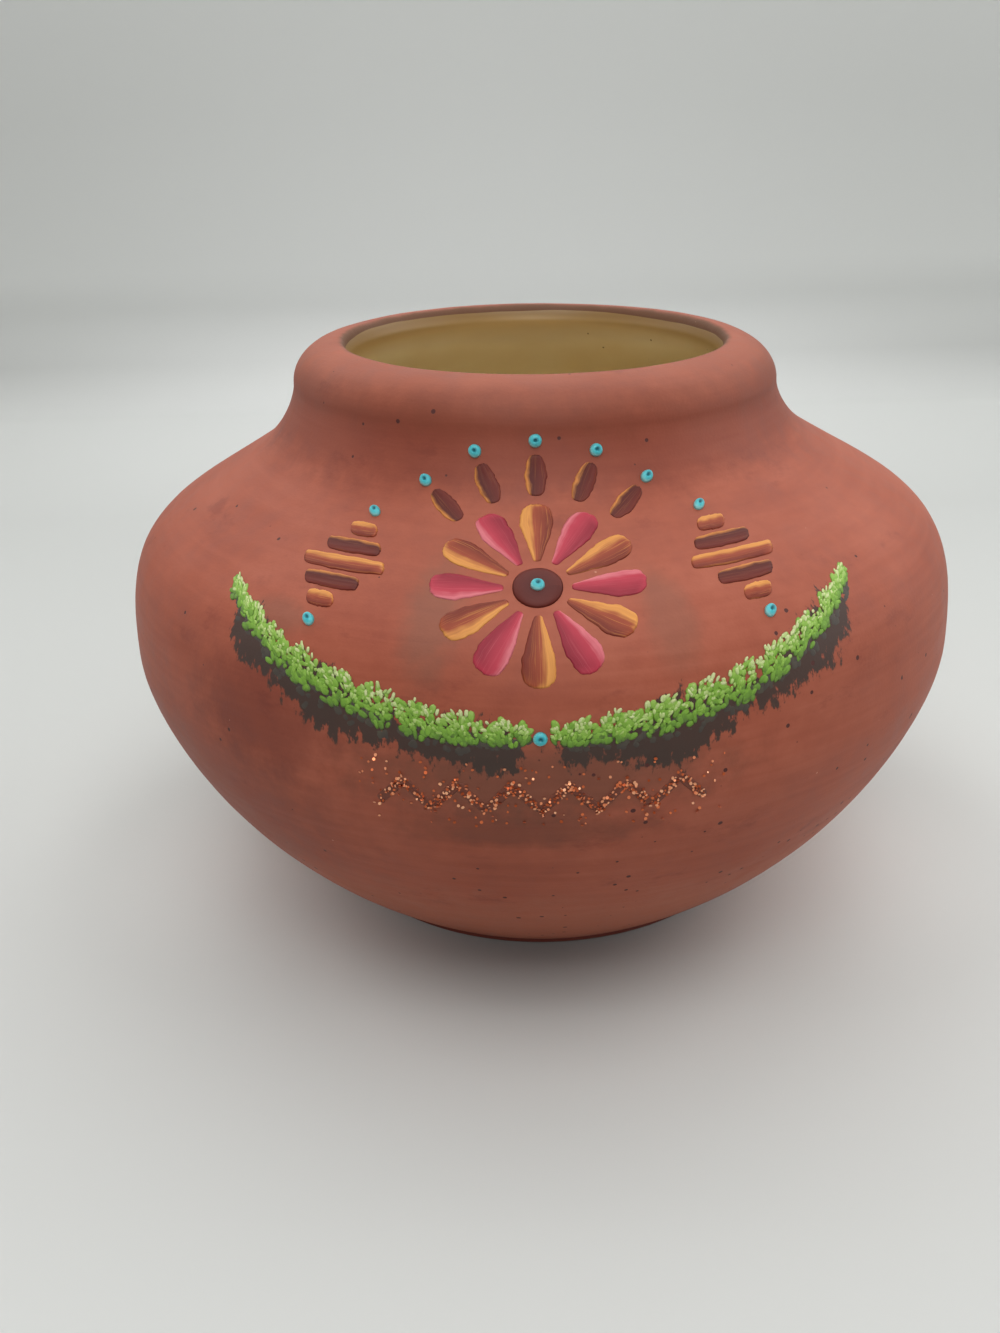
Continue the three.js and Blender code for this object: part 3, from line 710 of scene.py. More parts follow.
# One stroke of a loaded brush on each point: ridges of the bristles along it, a torn tail, and paint
# that stands steep at its rim and gathers where the brush lifts
def brushStrokes():
    tree, given = newTree("brushStrokes", {
        "Steps": ("Int", 40),
        "Lanes": ("Int", 16),
        "Bristles": ("Float", 7.0),
        "Bristle Depth": ("Float", 0.16),
        "Torn Tail": ("Float", 0.0002),
        "Round Ends": ("Float", 0.45),
        "Edge": ("Float", 6.0),
        "Material": ("Material", None),
    } | wallInputs)
    sheet, plan, place = sheetsOnPoints(tree, given, "Steps", "Lanes")
    number = numbersOf(tree, [
        "heading", "reach", "half", "tipHalf", "blunt", "swellStart", "swellEnd", "film", "base", "tone"])
    way = plan["X"]
    across = addNode(tree, "ShaderNodeMath", {0: plan["Y"], 1: 2, 2: -1}, operation="MULTIPLY_ADD")
    seed = addNode(tree, "ShaderNodeMath", {0: number["tone"], 1: toneSeeds}, operation="MULTIPLY")

    # Half of the width, along the way
    straight = addNode(tree, "ShaderNodeMix", {"Factor": way, "A": number["half"], "B": number["tipHalf"]})
    phase = addNode(tree, "ShaderNodeMix", {
        "Factor": way, "A": number["swellStart"], "B": number["swellEnd"]})
    halfTurn = addNode(tree, "ShaderNodeMath", {0: phase, 1: math.pi}, operation="MULTIPLY")
    sine = addNode(tree, "ShaderNodeMath", {0: halfTurn}, operation="SINE")
    swell = addNode(tree, "ShaderNodeMath", {0: sine}, operation="SQRT")
    blunted = addNode(tree, "ShaderNodeMix", {"Factor": swell, "A": number["blunt"], "B": 1.0})
    width = addNode(tree, "ShaderNodeMath", {0: straight, 1: blunted}, operation="MULTIPLY")
    sideNumber = addNode(tree, "ShaderNodeMath", {0: across}, operation="SIGN")
    waverStep = addNode(tree, "ShaderNodeMath", {0: way, 1: 5}, operation="MULTIPLY")
    waverPlace = addNode(tree, "ShaderNodeCombineXYZ", {"X": waverStep, "Y": sideNumber, "Z": seed})
    waver = addNode(tree, "ShaderNodeTexNoise", {"Vector": waverPlace, "Scale": 1})
    wavering = addNode(tree, "ShaderNodeMapRange", {
        "Value": waver, "From Min": 0.25, "From Max": 0.75, "To Min": 0.88, "To Max": 1.08})
    half = addNode(tree, "ShaderNodeMath", {0: width, 1: wavering}, operation="MULTIPLY")
    side = addNode(tree, "ShaderNodeMath", {0: across, 1: half}, operation="MULTIPLY")

    # The bristles tear the tail, and a little the start
    bristle = addNode(tree, "ShaderNodeMath", {0: across, 1: 4.5}, operation="MULTIPLY")
    tearPlace = addNode(tree, "ShaderNodeCombineXYZ", {"X": bristle, "Z": seed})
    tear = addNode(tree, "ShaderNodeTexNoise", {"Vector": tearPlace, "Scale": 1})
    tearShare = addNode(tree, "ShaderNodeMapRange", {
        "Value": tear, "From Min": 0.25, "From Max": 0.75, "To Min": -1, "To Max": 1})
    towardsTail = addNode(tree, "ShaderNodeMapRange", {"Value": way, "To Min": -0.35, "To Max": 1})
    tail = addNode(tree, "ShaderNodeMath", {0: towardsTail, 1: given["Torn Tail"]}, operation="MULTIPLY")
    torn = addNode(tree, "ShaderNodeMath", {0: tearShare, 1: tail}, operation="MULTIPLY")
    straightOut = addNode(tree, "ShaderNodeMath", {
        0: way, 1: number["reach"], 2: torn}, operation="MULTIPLY_ADD")
    offMiddle = addNode(tree, "ShaderNodeMath", {0: across}, operation="ABSOLUTE")
    bowed = addNode(tree, "ShaderNodeMath", {0: offMiddle, 1: 2.6}, operation="POWER")
    bowReach = addNode(tree, "ShaderNodeMath", {0: half, 1: given["Round Ends"]}, operation="MULTIPLY")
    bow = addNode(tree, "ShaderNodeMath", {0: bowed, 1: bowReach}, operation="MULTIPLY")
    bowWay = addNode(tree, "ShaderNodeMapRange", {"Value": way, "To Min": 1, "To Max": -1})
    out = addNode(tree, "ShaderNodeMath", {0: bow, 1: bowWay, 2: straightOut}, operation="MULTIPLY_ADD")
    local = addNode(tree, "ShaderNodeCombineXYZ", {"X": side, "Y": out})
    turn = addNode(tree, "ShaderNodeMath", {0: number["heading"], 1: -1}, operation="MULTIPLY")
    headed = addNode(tree, "ShaderNodeVectorRotate", {
        "Vector": local, "Angle": turn}, rotation_type="Z_AXIS")
    spread = addNode(tree, "ShaderNodeVectorMath", {0: place, 1: headed}, operation="ADD")

    # Height of the paint
    sideFall = addNode(tree, "ShaderNodeMath", {0: offMiddle, 1: given["Edge"]}, operation="POWER")
    inSides = addNode(tree, "ShaderNodeMath", {0: 1, 1: sideFall}, operation="SUBTRACT")
    fromMiddle = addNode(tree, "ShaderNodeMath", {0: way, 1: 2, 2: -1}, operation="MULTIPLY_ADD")
    fromMiddle = addNode(tree, "ShaderNodeMath", {0: fromMiddle}, operation="ABSOLUTE")
    endPower = addNode(tree, "ShaderNodeMath", {0: given["Edge"], 1: 2.3}, operation="MULTIPLY")
    endFall = addNode(tree, "ShaderNodeMath", {0: fromMiddle, 1: endPower}, operation="POWER")
    inEnds = addNode(tree, "ShaderNodeMath", {0: 1, 1: endFall}, operation="SUBTRACT")
    inRim = addNode(tree, "ShaderNodeMath", {0: inSides, 1: inEnds}, operation="MULTIPLY")
    rim = addNode(tree, "ShaderNodeMath", {0: inRim}, operation="SQRT")
    ridgeStep = addNode(tree, "ShaderNodeMath", {0: across, 1: given["Bristles"]}, operation="MULTIPLY")
    ridgeWay = addNode(tree, "ShaderNodeMath", {0: way, 1: 1.6}, operation="MULTIPLY")
    ridgePlace = addNode(tree, "ShaderNodeCombineXYZ", {"X": ridgeStep, "Y": ridgeWay, "Z": seed})
    ridge = addNode(tree, "ShaderNodeTexNoise", {"Vector": ridgePlace, "Scale": 1, "Detail": 1})
    ridgeShare = addNode(tree, "ShaderNodeMapRange", {
        "Value": ridge, "From Min": 0.3, "From Max": 0.7, "To Min": -1, "To Max": 1})
    ridged = addNode(tree, "ShaderNodeMath", {
        0: ridgeShare, 1: given["Bristle Depth"], 2: 1}, operation="MULTIPLY_ADD")
    gathered = addNode(tree, "ShaderNodeMapRange", {
        "Value": way, "From Min": 0.7, "From Max": 0.93, "To Min": 1, "To Max": 1.3},
        interpolation_type="SMOOTHSTEP")
    film = addNode(tree, "ShaderNodeMath", {0: ridged, 1: gathered}, operation="MULTIPLY")
    thick = addNode(tree, "ShaderNodeMath", {0: film, 1: number["film"]}, operation="MULTIPLY")
    height = addNode(tree, "ShaderNodeMath", {0: thick, 1: rim}, operation="MULTIPLY")
    closePaint(tree, given, sheet, spread, height, number["base"])
    return tree


# One round blob of thick paint on each point, a little uneven, with a dimple where the tool lifted
def paintBlobs():
    tree, given = newTree("paintBlobs", {
        "Segments": ("Int", 24),
        "Rings": ("Int", 9),
        "Uneven": ("Float", 0.1),
        "Dimple Width": ("Float", 0.36),
        "Material": ("Material", None),
    } | wallInputs)
    sheet, plan, place = sheetsOnPoints(tree, given, "Segments", "Rings")
    number = numbersOf(tree, ["radius", "film", "base", "dimple", "tone"])
    ring = plan["Y"]
    turn = addNode(tree, "ShaderNodeMath", {0: plan["X"], 1: 2 * math.pi}, operation="MULTIPLY")
    spoke = addNode(tree, "ShaderNodeVectorRotate", {
        "Vector": (1, 0, 0), "Angle": turn}, rotation_type="Z_AXIS")
    seed = addNode(tree, "ShaderNodeMath", {0: number["tone"], 1: toneSeeds}, operation="MULTIPLY")
    shapePlace = addNode(tree, "ShaderNodeVectorMath", {
        0: spoke, 1: addNode(tree, "ShaderNodeCombineXYZ", {"Z": seed})}, operation="ADD")
    shape = addNode(tree, "ShaderNodeTexNoise", {"Vector": shapePlace, "Scale": 0.9})
    uneven = addNode(tree, "ShaderNodeMapRange", {
        "Value": shape, "From Min": 0.25, "From Max": 0.75, "To Min": -1, "To Max": 0})
    trimmed = addNode(tree, "ShaderNodeMath", {
        0: uneven, 1: given["Uneven"], 2: 1}, operation="MULTIPLY_ADD")
    reach = addNode(tree, "ShaderNodeMath", {0: trimmed, 1: number["radius"]}, operation="MULTIPLY")
    out = addNode(tree, "ShaderNodeMath", {0: reach, 1: ring}, operation="MULTIPLY")
    spread = addNode(tree, "ShaderNodeVectorMath", {0: spoke, "Scale": out}, operation="SCALE")
    flat = addNode(tree, "ShaderNodeVectorMath", {0: place, 1: spread}, operation="ADD")
    fall = addNode(tree, "ShaderNodeMath", {0: ring, 1: 2.6}, operation="POWER")
    inRim = addNode(tree, "ShaderNodeMath", {0: 1, 1: fall}, operation="SUBTRACT")
    dome = addNode(tree, "ShaderNodeMath", {0: inRim}, operation="SQRT")
    inDimple = addNode(tree, "ShaderNodeMapRange", {
        "Value": ring, "From Max": given["Dimple Width"], "To Min": number["dimple"], "To Max": 0},
        interpolation_type="SMOOTHSTEP")
    rise = addNode(tree, "ShaderNodeMath", {0: dome, 1: inDimple}, operation="SUBTRACT")
    height = addNode(tree, "ShaderNodeMath", {0: rise, 1: number["film"]}, operation="MULTIPLY")
    closePaint(tree, given, sheet, flat, height, number["base"])
    return tree


# Six-sided flakes cut from film, strewn over the host's faces by their fill and left at all tilts.
# Sizes in metres.
def strewnFlakes():
    tree, given = newTree("strewnFlakes", {
        "Flake Radius": ("Float", 0.00022),
        "Flake Thickness": ("Float", 0.00003),
        "Spacing": ("Float", 0.0003),
        "Density": ("Float", 9000000.0),
        "Tilt": ("Float", 0.5),
        "Least Lift": ("Float", 0.00006),
        "Lift": ("Float", 0.0002),
        "Seed": ("Int", 4),
        "Material": ("Material", None),
    } | wallInputs)
    fill = addNode(tree, "GeometryNodeInputNamedAttribute", {"Name": "fill"})
    points = addNode(tree, "GeometryNodeDistributePointsOnFaces", {
        "Mesh": given["Geometry"], "Distance Min": given["Spacing"], "Density Max": given["Density"],
        "Density Factor": fill, "Seed": given["Seed"]}, distribute_method="POISSON")
    tone = addNode(tree, "FunctionNodeRandomValue", {"Min": 0.0, "Max": 1.0, "Seed": given["Seed"]})
    toned = addNode(tree, "GeometryNodeStoreNamedAttribute", {
        "Geometry": points, "Name": "tone", "Value": tone})
    liftSeed = addNode(tree, "ShaderNodeMath", {0: given["Seed"], 1: 1}, operation="ADD")
    height = addNode(tree, "FunctionNodeRandomValue", {
        "Min": given["Least Lift"], "Max": given["Lift"], "Seed": liftSeed})
    upwards = addNode(tree, "ShaderNodeCombineXYZ", {"Z": height})
    lifted = addNode(tree, "GeometryNodeSetPosition", {"Geometry": toned, "Offset": upwards})
    flake = addNode(tree, "GeometryNodeMeshCylinder", {
        "Vertices": 6, "Radius": given["Flake Radius"], "Depth": given["Flake Thickness"]})
    back = addNode(tree, "ShaderNodeMath", {0: given["Tilt"], 1: -1}, operation="MULTIPLY")
    least = addNode(tree, "ShaderNodeCombineXYZ", {"X": back, "Y": back})
    most = addNode(tree, "ShaderNodeCombineXYZ", {
        "X": given["Tilt"], "Y": given["Tilt"], "Z": 2 * math.pi})
    tilts = addNode(tree, "FunctionNodeRandomValue", {
        "Min": least, "Max": most, "Seed": given["Seed"]}, data_type="FLOAT_VECTOR")
    turn = addNode(tree, "FunctionNodeEulerToRotation", {0: tilts})
    sizeSeed = addNode(tree, "ShaderNodeMath", {0: given["Seed"], 1: 2}, operation="ADD")
    size = addNode(tree, "FunctionNodeRandomValue", {"Min": 0.7, "Max": 1.3, "Seed": sizeSeed})
    flakes = addNode(tree, "GeometryNodeInstanceOnPoints", {
        "Points": lifted, "Instance": flake, "Rotation": turn, "Scale": size})
    real = addNode(tree, "GeometryNodeRealizeInstances", {"Geometry": flakes})
    endOnWall(tree, given, real, smooth=False)
    return tree


brushStrokesTree = brushStrokes()
paintBlobsTree = paintBlobs()
strewnFlakesTree = strewnFlakes()


# A stroke's numbers, in mm and radians: where it starts, which way it goes and how it swells
def stroke(x, rise, heading, reach, half, tipHalf=None, blunt=0.0, swell=(0.16, 0.88), film=0.3,
           base=0.0, tone=0.0):
    return {
        "place": (x, rise, 0),
        "heading": heading,
        "reach": reach * mm,
        "half": half * mm,
        "tipHalf": (half if tipHalf is None else tipHalf) * mm,
        "blunt": blunt,
        "swellStart": swell[0],
        "swellEnd": swell[1],
        "film": film * mm,
        "base": base * mm,
        "tone": tone,
    }


# A blob's numbers, in mm, with the share of its height that the dimple takes
def blob(x, rise, radius, film, base=0.0, dimple=0.0, tone=0.0):
    return {
        "place": (x, rise, 0),
        "radius": radius * mm,
        "film": film * mm,
        "base": base * mm,
        "dimple": dimple,
        "tone": tone,
    }


# Lays paint of one kind as one piece, which takes the place of the CAD nodes named. The plan has
# served its turn by then and is dropped.
def paint(name, tree, marks, material, slot, nodes, **values):
    numbers = {label: [mark[label] for mark in marks] for label in marks[0] if label != "place"}
    host = hostPoints(name, [mark["place"] for mark in marks], **numbers)
    piece = grow(name, host, tree, {"Material": material} | values | wallValues)
    if "plan" in piece.data.attributes:
        piece.data.attributes.remove(piece.data.attributes["plan"])
    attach(piece, "root")
    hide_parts(*nodes)
    return piece


# Acrylic paint from a flat brush that holds two colours: a narrow light band runs along its left side
# and hooks over the end, the rest is darker, with faint streaks along, and the film has a low shine
def streakedPaint(name, band, body, edge, bandWidth=0.3, thread=0.4, roughness=0.5):
    material, tree, shader = newMaterial(name, Roughness=roughness, IOR=1.46, Specular_IOR_Level=0.3)
    strokeMap = addNode(tree, "ShaderNodeUVMap", uv_map="strokeMap")
    shares = addNode(tree, "ShaderNodeSeparateXYZ", {0: strokeMap}).outputs
    tone = addNode(tree, "ShaderNodeAttribute", attribute_name="tone").outputs["Fac"]
    seed = addNode(tree, "ShaderNodeMath", {0: tone, 1: 23}, operation="MULTIPLY")
    across = addNode(tree, "ShaderNodeMath", {0: shares["Y"], 1: 15}, operation="MULTIPLY")
    along = addNode(tree, "ShaderNodeMath", {0: shares["X"], 1: 1.6}, operation="MULTIPLY")
    streakPlace = addNode(tree, "ShaderNodeCombineXYZ", {"X": across, "Y": along, "Z": seed})
    streaks = addNode(tree, "ShaderNodeTexNoise", {"Vector": streakPlace, "Scale": 1, "Detail": 2})
    wanderPlace = addNode(tree, "ShaderNodeCombineXYZ", {"X": shares["Y"], "Y": along, "Z": seed})
    wander = addNode(tree, "ShaderNodeTexNoise", {"Vector": wanderPlace, "Scale": 2.4, "Detail": 1})
    fromEnd = addNode(tree, "ShaderNodeMapRange", {
        "Value": shares["X"], "To Min": 2.6, "To Max": 0.04}, clamp=False)
    hook = addNode(tree, "ShaderNodeMath", {0: shares["Y"], 1: 0.45, 2: fromEnd}, operation="MULTIPLY_ADD")
    fromSide = addNode(tree, "ShaderNodeMath", {0: shares["Y"], 1: hook, 2: 0.12}, operation="SMOOTH_MIN")
    streaked = addNode(tree, "ShaderNodeMath", {0: streaks, 1: 0.14, 2: fromSide}, operation="MULTIPLY_ADD")
    wandering = addNode(tree, "ShaderNodeMath", {0: wander, 1: 0.22, 2: streaked}, operation="MULTIPLY_ADD")
    bandEnd = bandWidth + 0.18  # the streaks and the wander add 0.18 on average
    ground = addNode(tree, "ShaderNodeValToRGB", {0: wandering}, tones=(
        (bandEnd - 0.16, band), (bandEnd + 0.04, body), (1.0, edge)))
    worn = addNode(tree, "ShaderNodeMapRange", {
        "Value": streaks, "From Min": 0.3, "From Max": 0.7, "To Max": 0.24})

    # Fine threads of the light colour, drawn through the rest by single bristles
    threadPlace = addNode(tree, "ShaderNodeVectorMath", {
        0: streakPlace, 1: (2.4, 0.8, 1)}, operation="MULTIPLY")
    threads = addNode(tree, "ShaderNodeTexNoise", {"Vector": threadPlace, "Scale": 1, "Detail": 2})
    threaded = addNode(tree, "ShaderNodeMapRange", {
        "Value": threads, "From Min": 0.55, "From Max": 0.72, "To Max": thread},
        interpolation_type="SMOOTHSTEP")
    colour = layCoats(tree, ground, [(worn, body), (threaded, band)])
    bump = addNode(tree, "ShaderNodeBump", {"Strength": 0.25, "Distance": 0.00008, "Height": streaks})
    setInputs(tree, shader, {"Base Color": colour, "Normal": bump})
    return material


# The band's colour, the body's and the far edge's, then how wide the band is and how strong the threads
ochrePaint = streakedPaint("ochreAcrylic", "#e8a052", "#a14a2f", "#742a1c", bandWidth=0.38)
crimsonPaint = streakedPaint("crimsonAcrylic", "#df7c84", "#bf3b4d", "#8e2233", bandWidth=0.26, thread=0.22)
maroonPaint = streakedPaint("maroonAcrylic", "#d88a45", "#531a13", "#6e261b", bandWidth=0.24, thread=0.16)
bossPaint = streakedPaint("maroonAcrylicPlain", "#5c2018", "#531a13", "#61231a", thread=0.0)

# Rosette of petal strokes, with a plume of strokes over it
petalPaints = ((ochrePaint, "ochre_paint"), (crimsonPaint, "crimson_paint"))


# A stroke that points away from the rosette's middle
def ray(angle, start, reach, half, tipHalf, swell, film, tone):
    return stroke(
        start * math.sin(angle), rosette["rise"] + start * math.cos(angle), angle, reach, half, tipHalf,
        swell=swell, film=film, tone=tone)


petalHalves = [
    (out * math.sin(math.pi / rosette["petals"]) - rosette["petalGap"] / 2) * rosette["petalFullness"]
    for out in (rosette["petalStart"], petalTip)
]
for i in range(rosette["petals"]):
    angle = 2 * math.pi * i / rosette["petals"]
    mark = ray(
        angle, rosette["petalStart"], rosette["petalReach"], *petalHalves, swell=(0.16, 0.88),
        film=rosette["film"], tone=0.1 + 0.07 * i)
    paint(f"petal_stroke_{i + 1}", brushStrokesTree, [mark], *petalPaints[i % 2], [f"petal_{i + 1}"])
plumeAngles = [
    math.radians((i - (rosette["plumeStrokes"] - 1) / 2) * rosette["plumeSpread"])
    for i in range(rosette["plumeStrokes"])
]
for i, angle in enumerate(plumeAngles):
    mark = ray(
        angle, petalTip + rosette["plumeGap"], rosette["plumeReach"], rosette["plumeHalf"],
        rosette["plumeHalf"], swell=(0.14, 0.88), film=rosette["film"], tone=0.15 + 0.13 * i)
    paint(f"plume_brush_{i + 1}", brushStrokesTree, [mark], maroonPaint, "maroon_paint",
          [f"plume_stroke_{i + 1}"])
boss = blob(0, rosette["rise"], rosette["bossRadius"], rosette["bossFilm"], tone=0.4)
paint("rosette_boss_blob", paintBlobsTree, [boss], bossPaint, "maroon_paint", ["rosette_boss"],
      Segments=36, Rings=12, Uneven=0.05)
print("rosette")


# Acrylic dabbed on with a stiff brush, three colours deep: charcoal, leaf green and pale yellow-green
# tips, in short matt dabs that are a little paler at their ends
def leafPaintMaterial():
    material, tree, shader = newMaterial("leafAcrylic", Roughness=0.55, IOR=1.49)
    tone = addNode(tree, "ShaderNodeAttribute", attribute_name="tone").outputs["Fac"]
    strokeMap = addNode(tree, "ShaderNodeUVMap", uv_map="strokeMap")
    along = addNode(tree, "ShaderNodeSeparateXYZ", {0: strokeMap}).outputs["X"]
    paler = addNode(tree, "ShaderNodeMath", {0: along, 1: 0.14, 2: -0.07}, operation="MULTIPLY_ADD")
    mixed = addNode(tree, "ShaderNodeMath", {0: tone, 1: paler}, operation="ADD")
    colour = addNode(tree, "ShaderNodeValToRGB", {0: mixed}, tones=garland["tones"])
    setInputs(tree, shader, {"Base Color": colour})
    return material


# One leaf dab of a layer, in a cluster. The clusters are notched where they meet, the garland tapers
# to its ends, and the dabs fan out from each cluster's middle and are palest at their top.
def leafDab(layer, cluster, sideWay):
    band, reaches, halves, film, base, tones = layer
    within = chance.gauss(0.5, 0.3)
    share = min(max((cluster + within) / garland["clusters"], 0.01), 0.97)
    turn = garlandTie + (garlandEnd - garlandTie) * share
    notch = 1 - 0.36 * (1 - abs(math.sin(math.pi * garland["clusters"] * share)))
    taper = notch * math.sqrt(math.sin(math.pi * (0.08 + 0.84 * share)))
    fan = sideWay * (1.5 * (within - 0.5) + 0.35) + chance.gauss(0, 0.35)
    level = chance.random()
    tone = tones[0] + (tones[1] - tones[0]) * min(max(level + chance.gauss(0, 0.22), 0), 1)
    over = (band[0] + (band[1] - band[0]) * level) * taper
    return stroke(
        sideWay * turn * wallRadius(garlandRise(turn)), garlandRise(turn) + over, fan,
        chance.uniform(*reaches), chance.uniform(*halves), swell=(0.1, 0.84),
        film=film * chance.uniform(0.8, 1.3), base=base * chance.uniform(0.6, 1.2), tone=tone)


leafPaint = leafPaintMaterial()
garlandTie = garland["tie"] / belly.x
chance = random.Random(garland["seed"])
for name, sideWay in (("left", -1), ("right", 1)):
    dabs = [
        leafDab(layer, cluster, sideWay) for count, *layer in garland["layers"]
        for cluster in range(garland["clusters"]) for dab in range(count)
    ]
    paint(f"garland_leaves_{name}", brushStrokesTree, dabs, leafPaint, "green_paint", [f"garland_{name}"],
          Steps=5, Lanes=4, Bristles=2.5, **{"Torn Tail": 0.0001, "Edge": 2.4})
print("garland")

# Stepped lozenge of level strokes on each side, and the dots of the design, in mm
lozenge = {
    "steps": 3,
    "step": 2.5,
    "barHeight": 3,
    "barGap": 0.45,
    "gap": 8,
    "clear": 2,
    "film": 0.2,
}
dots = {
    "radius": 1.1,
    "film": 0.8,
    "gap": 0.9,
    "dimple": 0.42,
    "dimpleMiddle": (0.1, 0.12, 0),  # of its dark colour, as shares of the radius
    "tones": (  # from there outwards
        (0.06, "#17646e"),
        (0.3, "#1f8a96"),
        (0.48, "#3dbac5"),
        (0.8, "#55c6cd"),
        (1.0, "#8edadb"),
    ),
}
bars = 2 * lozenge["steps"] - 1
barPitch = lozenge["barHeight"] + lozenge["barGap"]
lozengeDot = bars * barPitch / 2 + dots["gap"] + dots["radius"]
lozengeTurn = (petalTip + lozenge["gap"] + lozenge["steps"] * lozenge["step"]) / wallRadius(rosette["rise"])
lozengeRise = garlandRise(lozengeTurn) + garland["half"] + lozenge["clear"] + dots["radius"] + lozengeDot
barPaints = ((ochrePaint, "ochre_paint"), (maroonPaint, "maroon_paint"))
for name, sideWay in (("left", -1), ("right", 1)):
    for i in range(bars):
        fromMiddle = i - (lozenge["steps"] - 1)
        rise = lozengeRise + fromMiddle * barPitch
        halfLength = (lozenge["steps"] - abs(fromMiddle)) * lozenge["step"]
        mark = stroke(
            sideWay * lozengeTurn * wallRadius(rise) - halfLength, rise, math.pi / 2, 2 * halfLength,
            lozenge["barHeight"] / 2, blunt=0.72, swell=(0.04, 0.96), film=lozenge["film"],
            tone=0.2 + 0.11 * i + 0.05 * sideWay)
        paint(f"lozenge_stroke_{name}_{i + 1}", brushStrokesTree, [mark], *barPaints[i % 2],
              [f"lozenge_{name}_bar_{i + 1}"])
print("lozenges")


# Thick turquoise acrylic, set down in drops: a clear blue-green, darker where the tool left its dimple
def turquoiseMaterial():
    material, tree, shader = newMaterial("turquoiseAcrylic", Roughness=0.35, IOR=1.49)
    strokeMap = addNode(tree, "ShaderNodeUVMap", uv_map="strokeMap")
    shares = addNode(tree, "ShaderNodeSeparateXYZ", {0: strokeMap}).outputs
    turn = addNode(tree, "ShaderNodeMath", {0: shares["X"], 1: 2 * math.pi}, operation="MULTIPLY")
    out = addNode(tree, "ShaderNodeCombineXYZ", {"X": shares["Y"]})
    spot = addNode(tree, "ShaderNodeVectorRotate", {"Vector": out, "Angle": turn}, rotation_type="Z_AXIS")
    aside = addNode(tree, "ShaderNodeVectorMath", {0: spot, 1: dots["dimpleMiddle"]}, operation="SUBTRACT")
    far = addNode(tree, "ShaderNodeVectorMath", {0: aside}, operation="LENGTH")
    colour = addNode(tree, "ShaderNodeValToRGB", {0: far}, tones=dots["tones"])
    setInputs(tree, shader, {"Base Color": colour})
    return material


turquoise = turquoiseMaterial()
plumeDot = petalTip + rosette["plumeGap"] + rosette["plumeReach"] + dots["gap"] + dots["radius"]
dotPlaces = {"boss": (0, rosette["rise"], rosette["bossFilm"] * 0.85), "garland": (0, garlandLow, 0)}
for i, angle in enumerate(plumeAngles):
    rise = rosette["rise"] + plumeDot * math.cos(angle)
    dotPlaces[f"plume_{i + 1}"] = (plumeDot * math.sin(angle), rise, 0)
for name, sideWay in (("left", -1), ("right", 1)):
    for end, way in (("top", 1), ("bottom", -1)):
        rise = lozengeRise + way * lozengeDot
        dotPlaces[f"lozenge_{name}_{end}"] = (sideWay * lozengeTurn * wallRadius(rise), rise, 0)
for i, (name, (x, rise, base)) in enumerate(dotPlaces.items()):
    mark = blob(x, rise, dots["radius"], dots["film"], base, dots["dimple"], 0.1 + 0.08 * i)
    paint(f"turquoise_dot_{name}", paintBlobsTree, [mark], turquoise, "turquoise_paint", [f"dot_{name}"])
print("dots")

# Zigzag of glitter, in mm: flakes of copper film on a thin dark wash
zigzag = {
    "gap": 3.4,
    "height": 4.2,
    "half": 1.1,
    "peaks": 6,
    "reach": 24,
    "strew": (27, 5.5),  # half of the area over which loose flakes fell
    "wash": 0.1,
    "fills": (0.8, 0.07),  # how thickly the flakes lie, on the zigzag and round it
    "tones": ((0.0, "#9c4629"), (0.55, "#d8744a"), (1.0, "#f4b48c")),
}


# Copper-coloured film cut into flakes: bright smooth metal, where each flake flashes or lies dull
# by its own tilt, and no two are quite one tone
def copperFlakeMaterial():
    material, tree, shader = newMaterial("copperFilmFlakes", Metallic=1.0, Roughness=0.28)
    tone = addNode(tree, "ShaderNodeAttribute", attribute_name="tone").outputs["Fac"]
    colour = addNode(tree, "ShaderNodeValToRGB", {0: tone}, tones=zigzag["tones"])
    setInputs(tree, shader, {"Base Color": colour})
    return material


valley = garlandLow - garland["half"] - zigzag["gap"] - zigzag["height"]
corners = []
for i in range(2 * zigzag["peaks"] + 1):
    x = zigzag["reach"] * (i / zigzag["peaks"] - 1)
    corners.append((x, valley + zigzag["height"] * (i % 2)))
legs = []
for i, (start, end) in enumerate(zip(corners, corners[1:])):
    way = Vector(end) - Vector(start)
    legs.append(stroke(
        start[0], start[1], math.atan2(way.x, way.y), way.length, zigzag["half"] * 0.8, blunt=0.85,
        swell=(0.1, 0.9), film=zigzag["wash"], tone=0.06 * i))
washPaint = streakedPaint("darkWash", "#7c4535", "#713d2f", "#7c4535", roughness=0.45)
paint("glitter_wash", brushStrokesTree, legs, washPaint, "maroon_paint", ["glitter_zigzag"],
      Steps=16, Lanes=6)


# The strip that the flakes lie on: the zigzag itself, full, and the area round it, sparse
def flakeHost():
    middle = valley + zigzag["height"] / 2
    across, up = zigzag["strew"]
    full, sparse = zigzag["fills"]
    half = zigzag["half"] * 0.9
    strips = [(start, end, half, full) for start, end in zip(corners, corners[1:])]
    strips.append(((-across, middle), (across, middle), up, sparse))
    points = []
    for (x0, y0), (x1, y1), half, fill in strips:
        points += [(x0, y0 - half, 0), (x1, y1 - half, 0), (x1, y1 + half, 0), (x0, y0 + half, 0)]
    mesh = bpy.data.meshes.new("flakeHost")
    faces = [list(range(4 * i, 4 * i + 4)) for i in range(len(strips))]
    mesh.from_pydata([Vector(point) * mm for point in points], [], faces)
    mesh.attributes.new("fill", "FLOAT", "FACE").data.foreach_set("value", [strip[-1] for strip in strips])
    return mesh


flakeValues = {"Material": copperFlakeMaterial()} | wallValues
flakes = grow("glitter_flakes", flakeHost(), strewnFlakesTree, flakeValues)
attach(flakes, "root")
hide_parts("glitter_zigzag")
print("glitter", len(flakes.data.polygons))

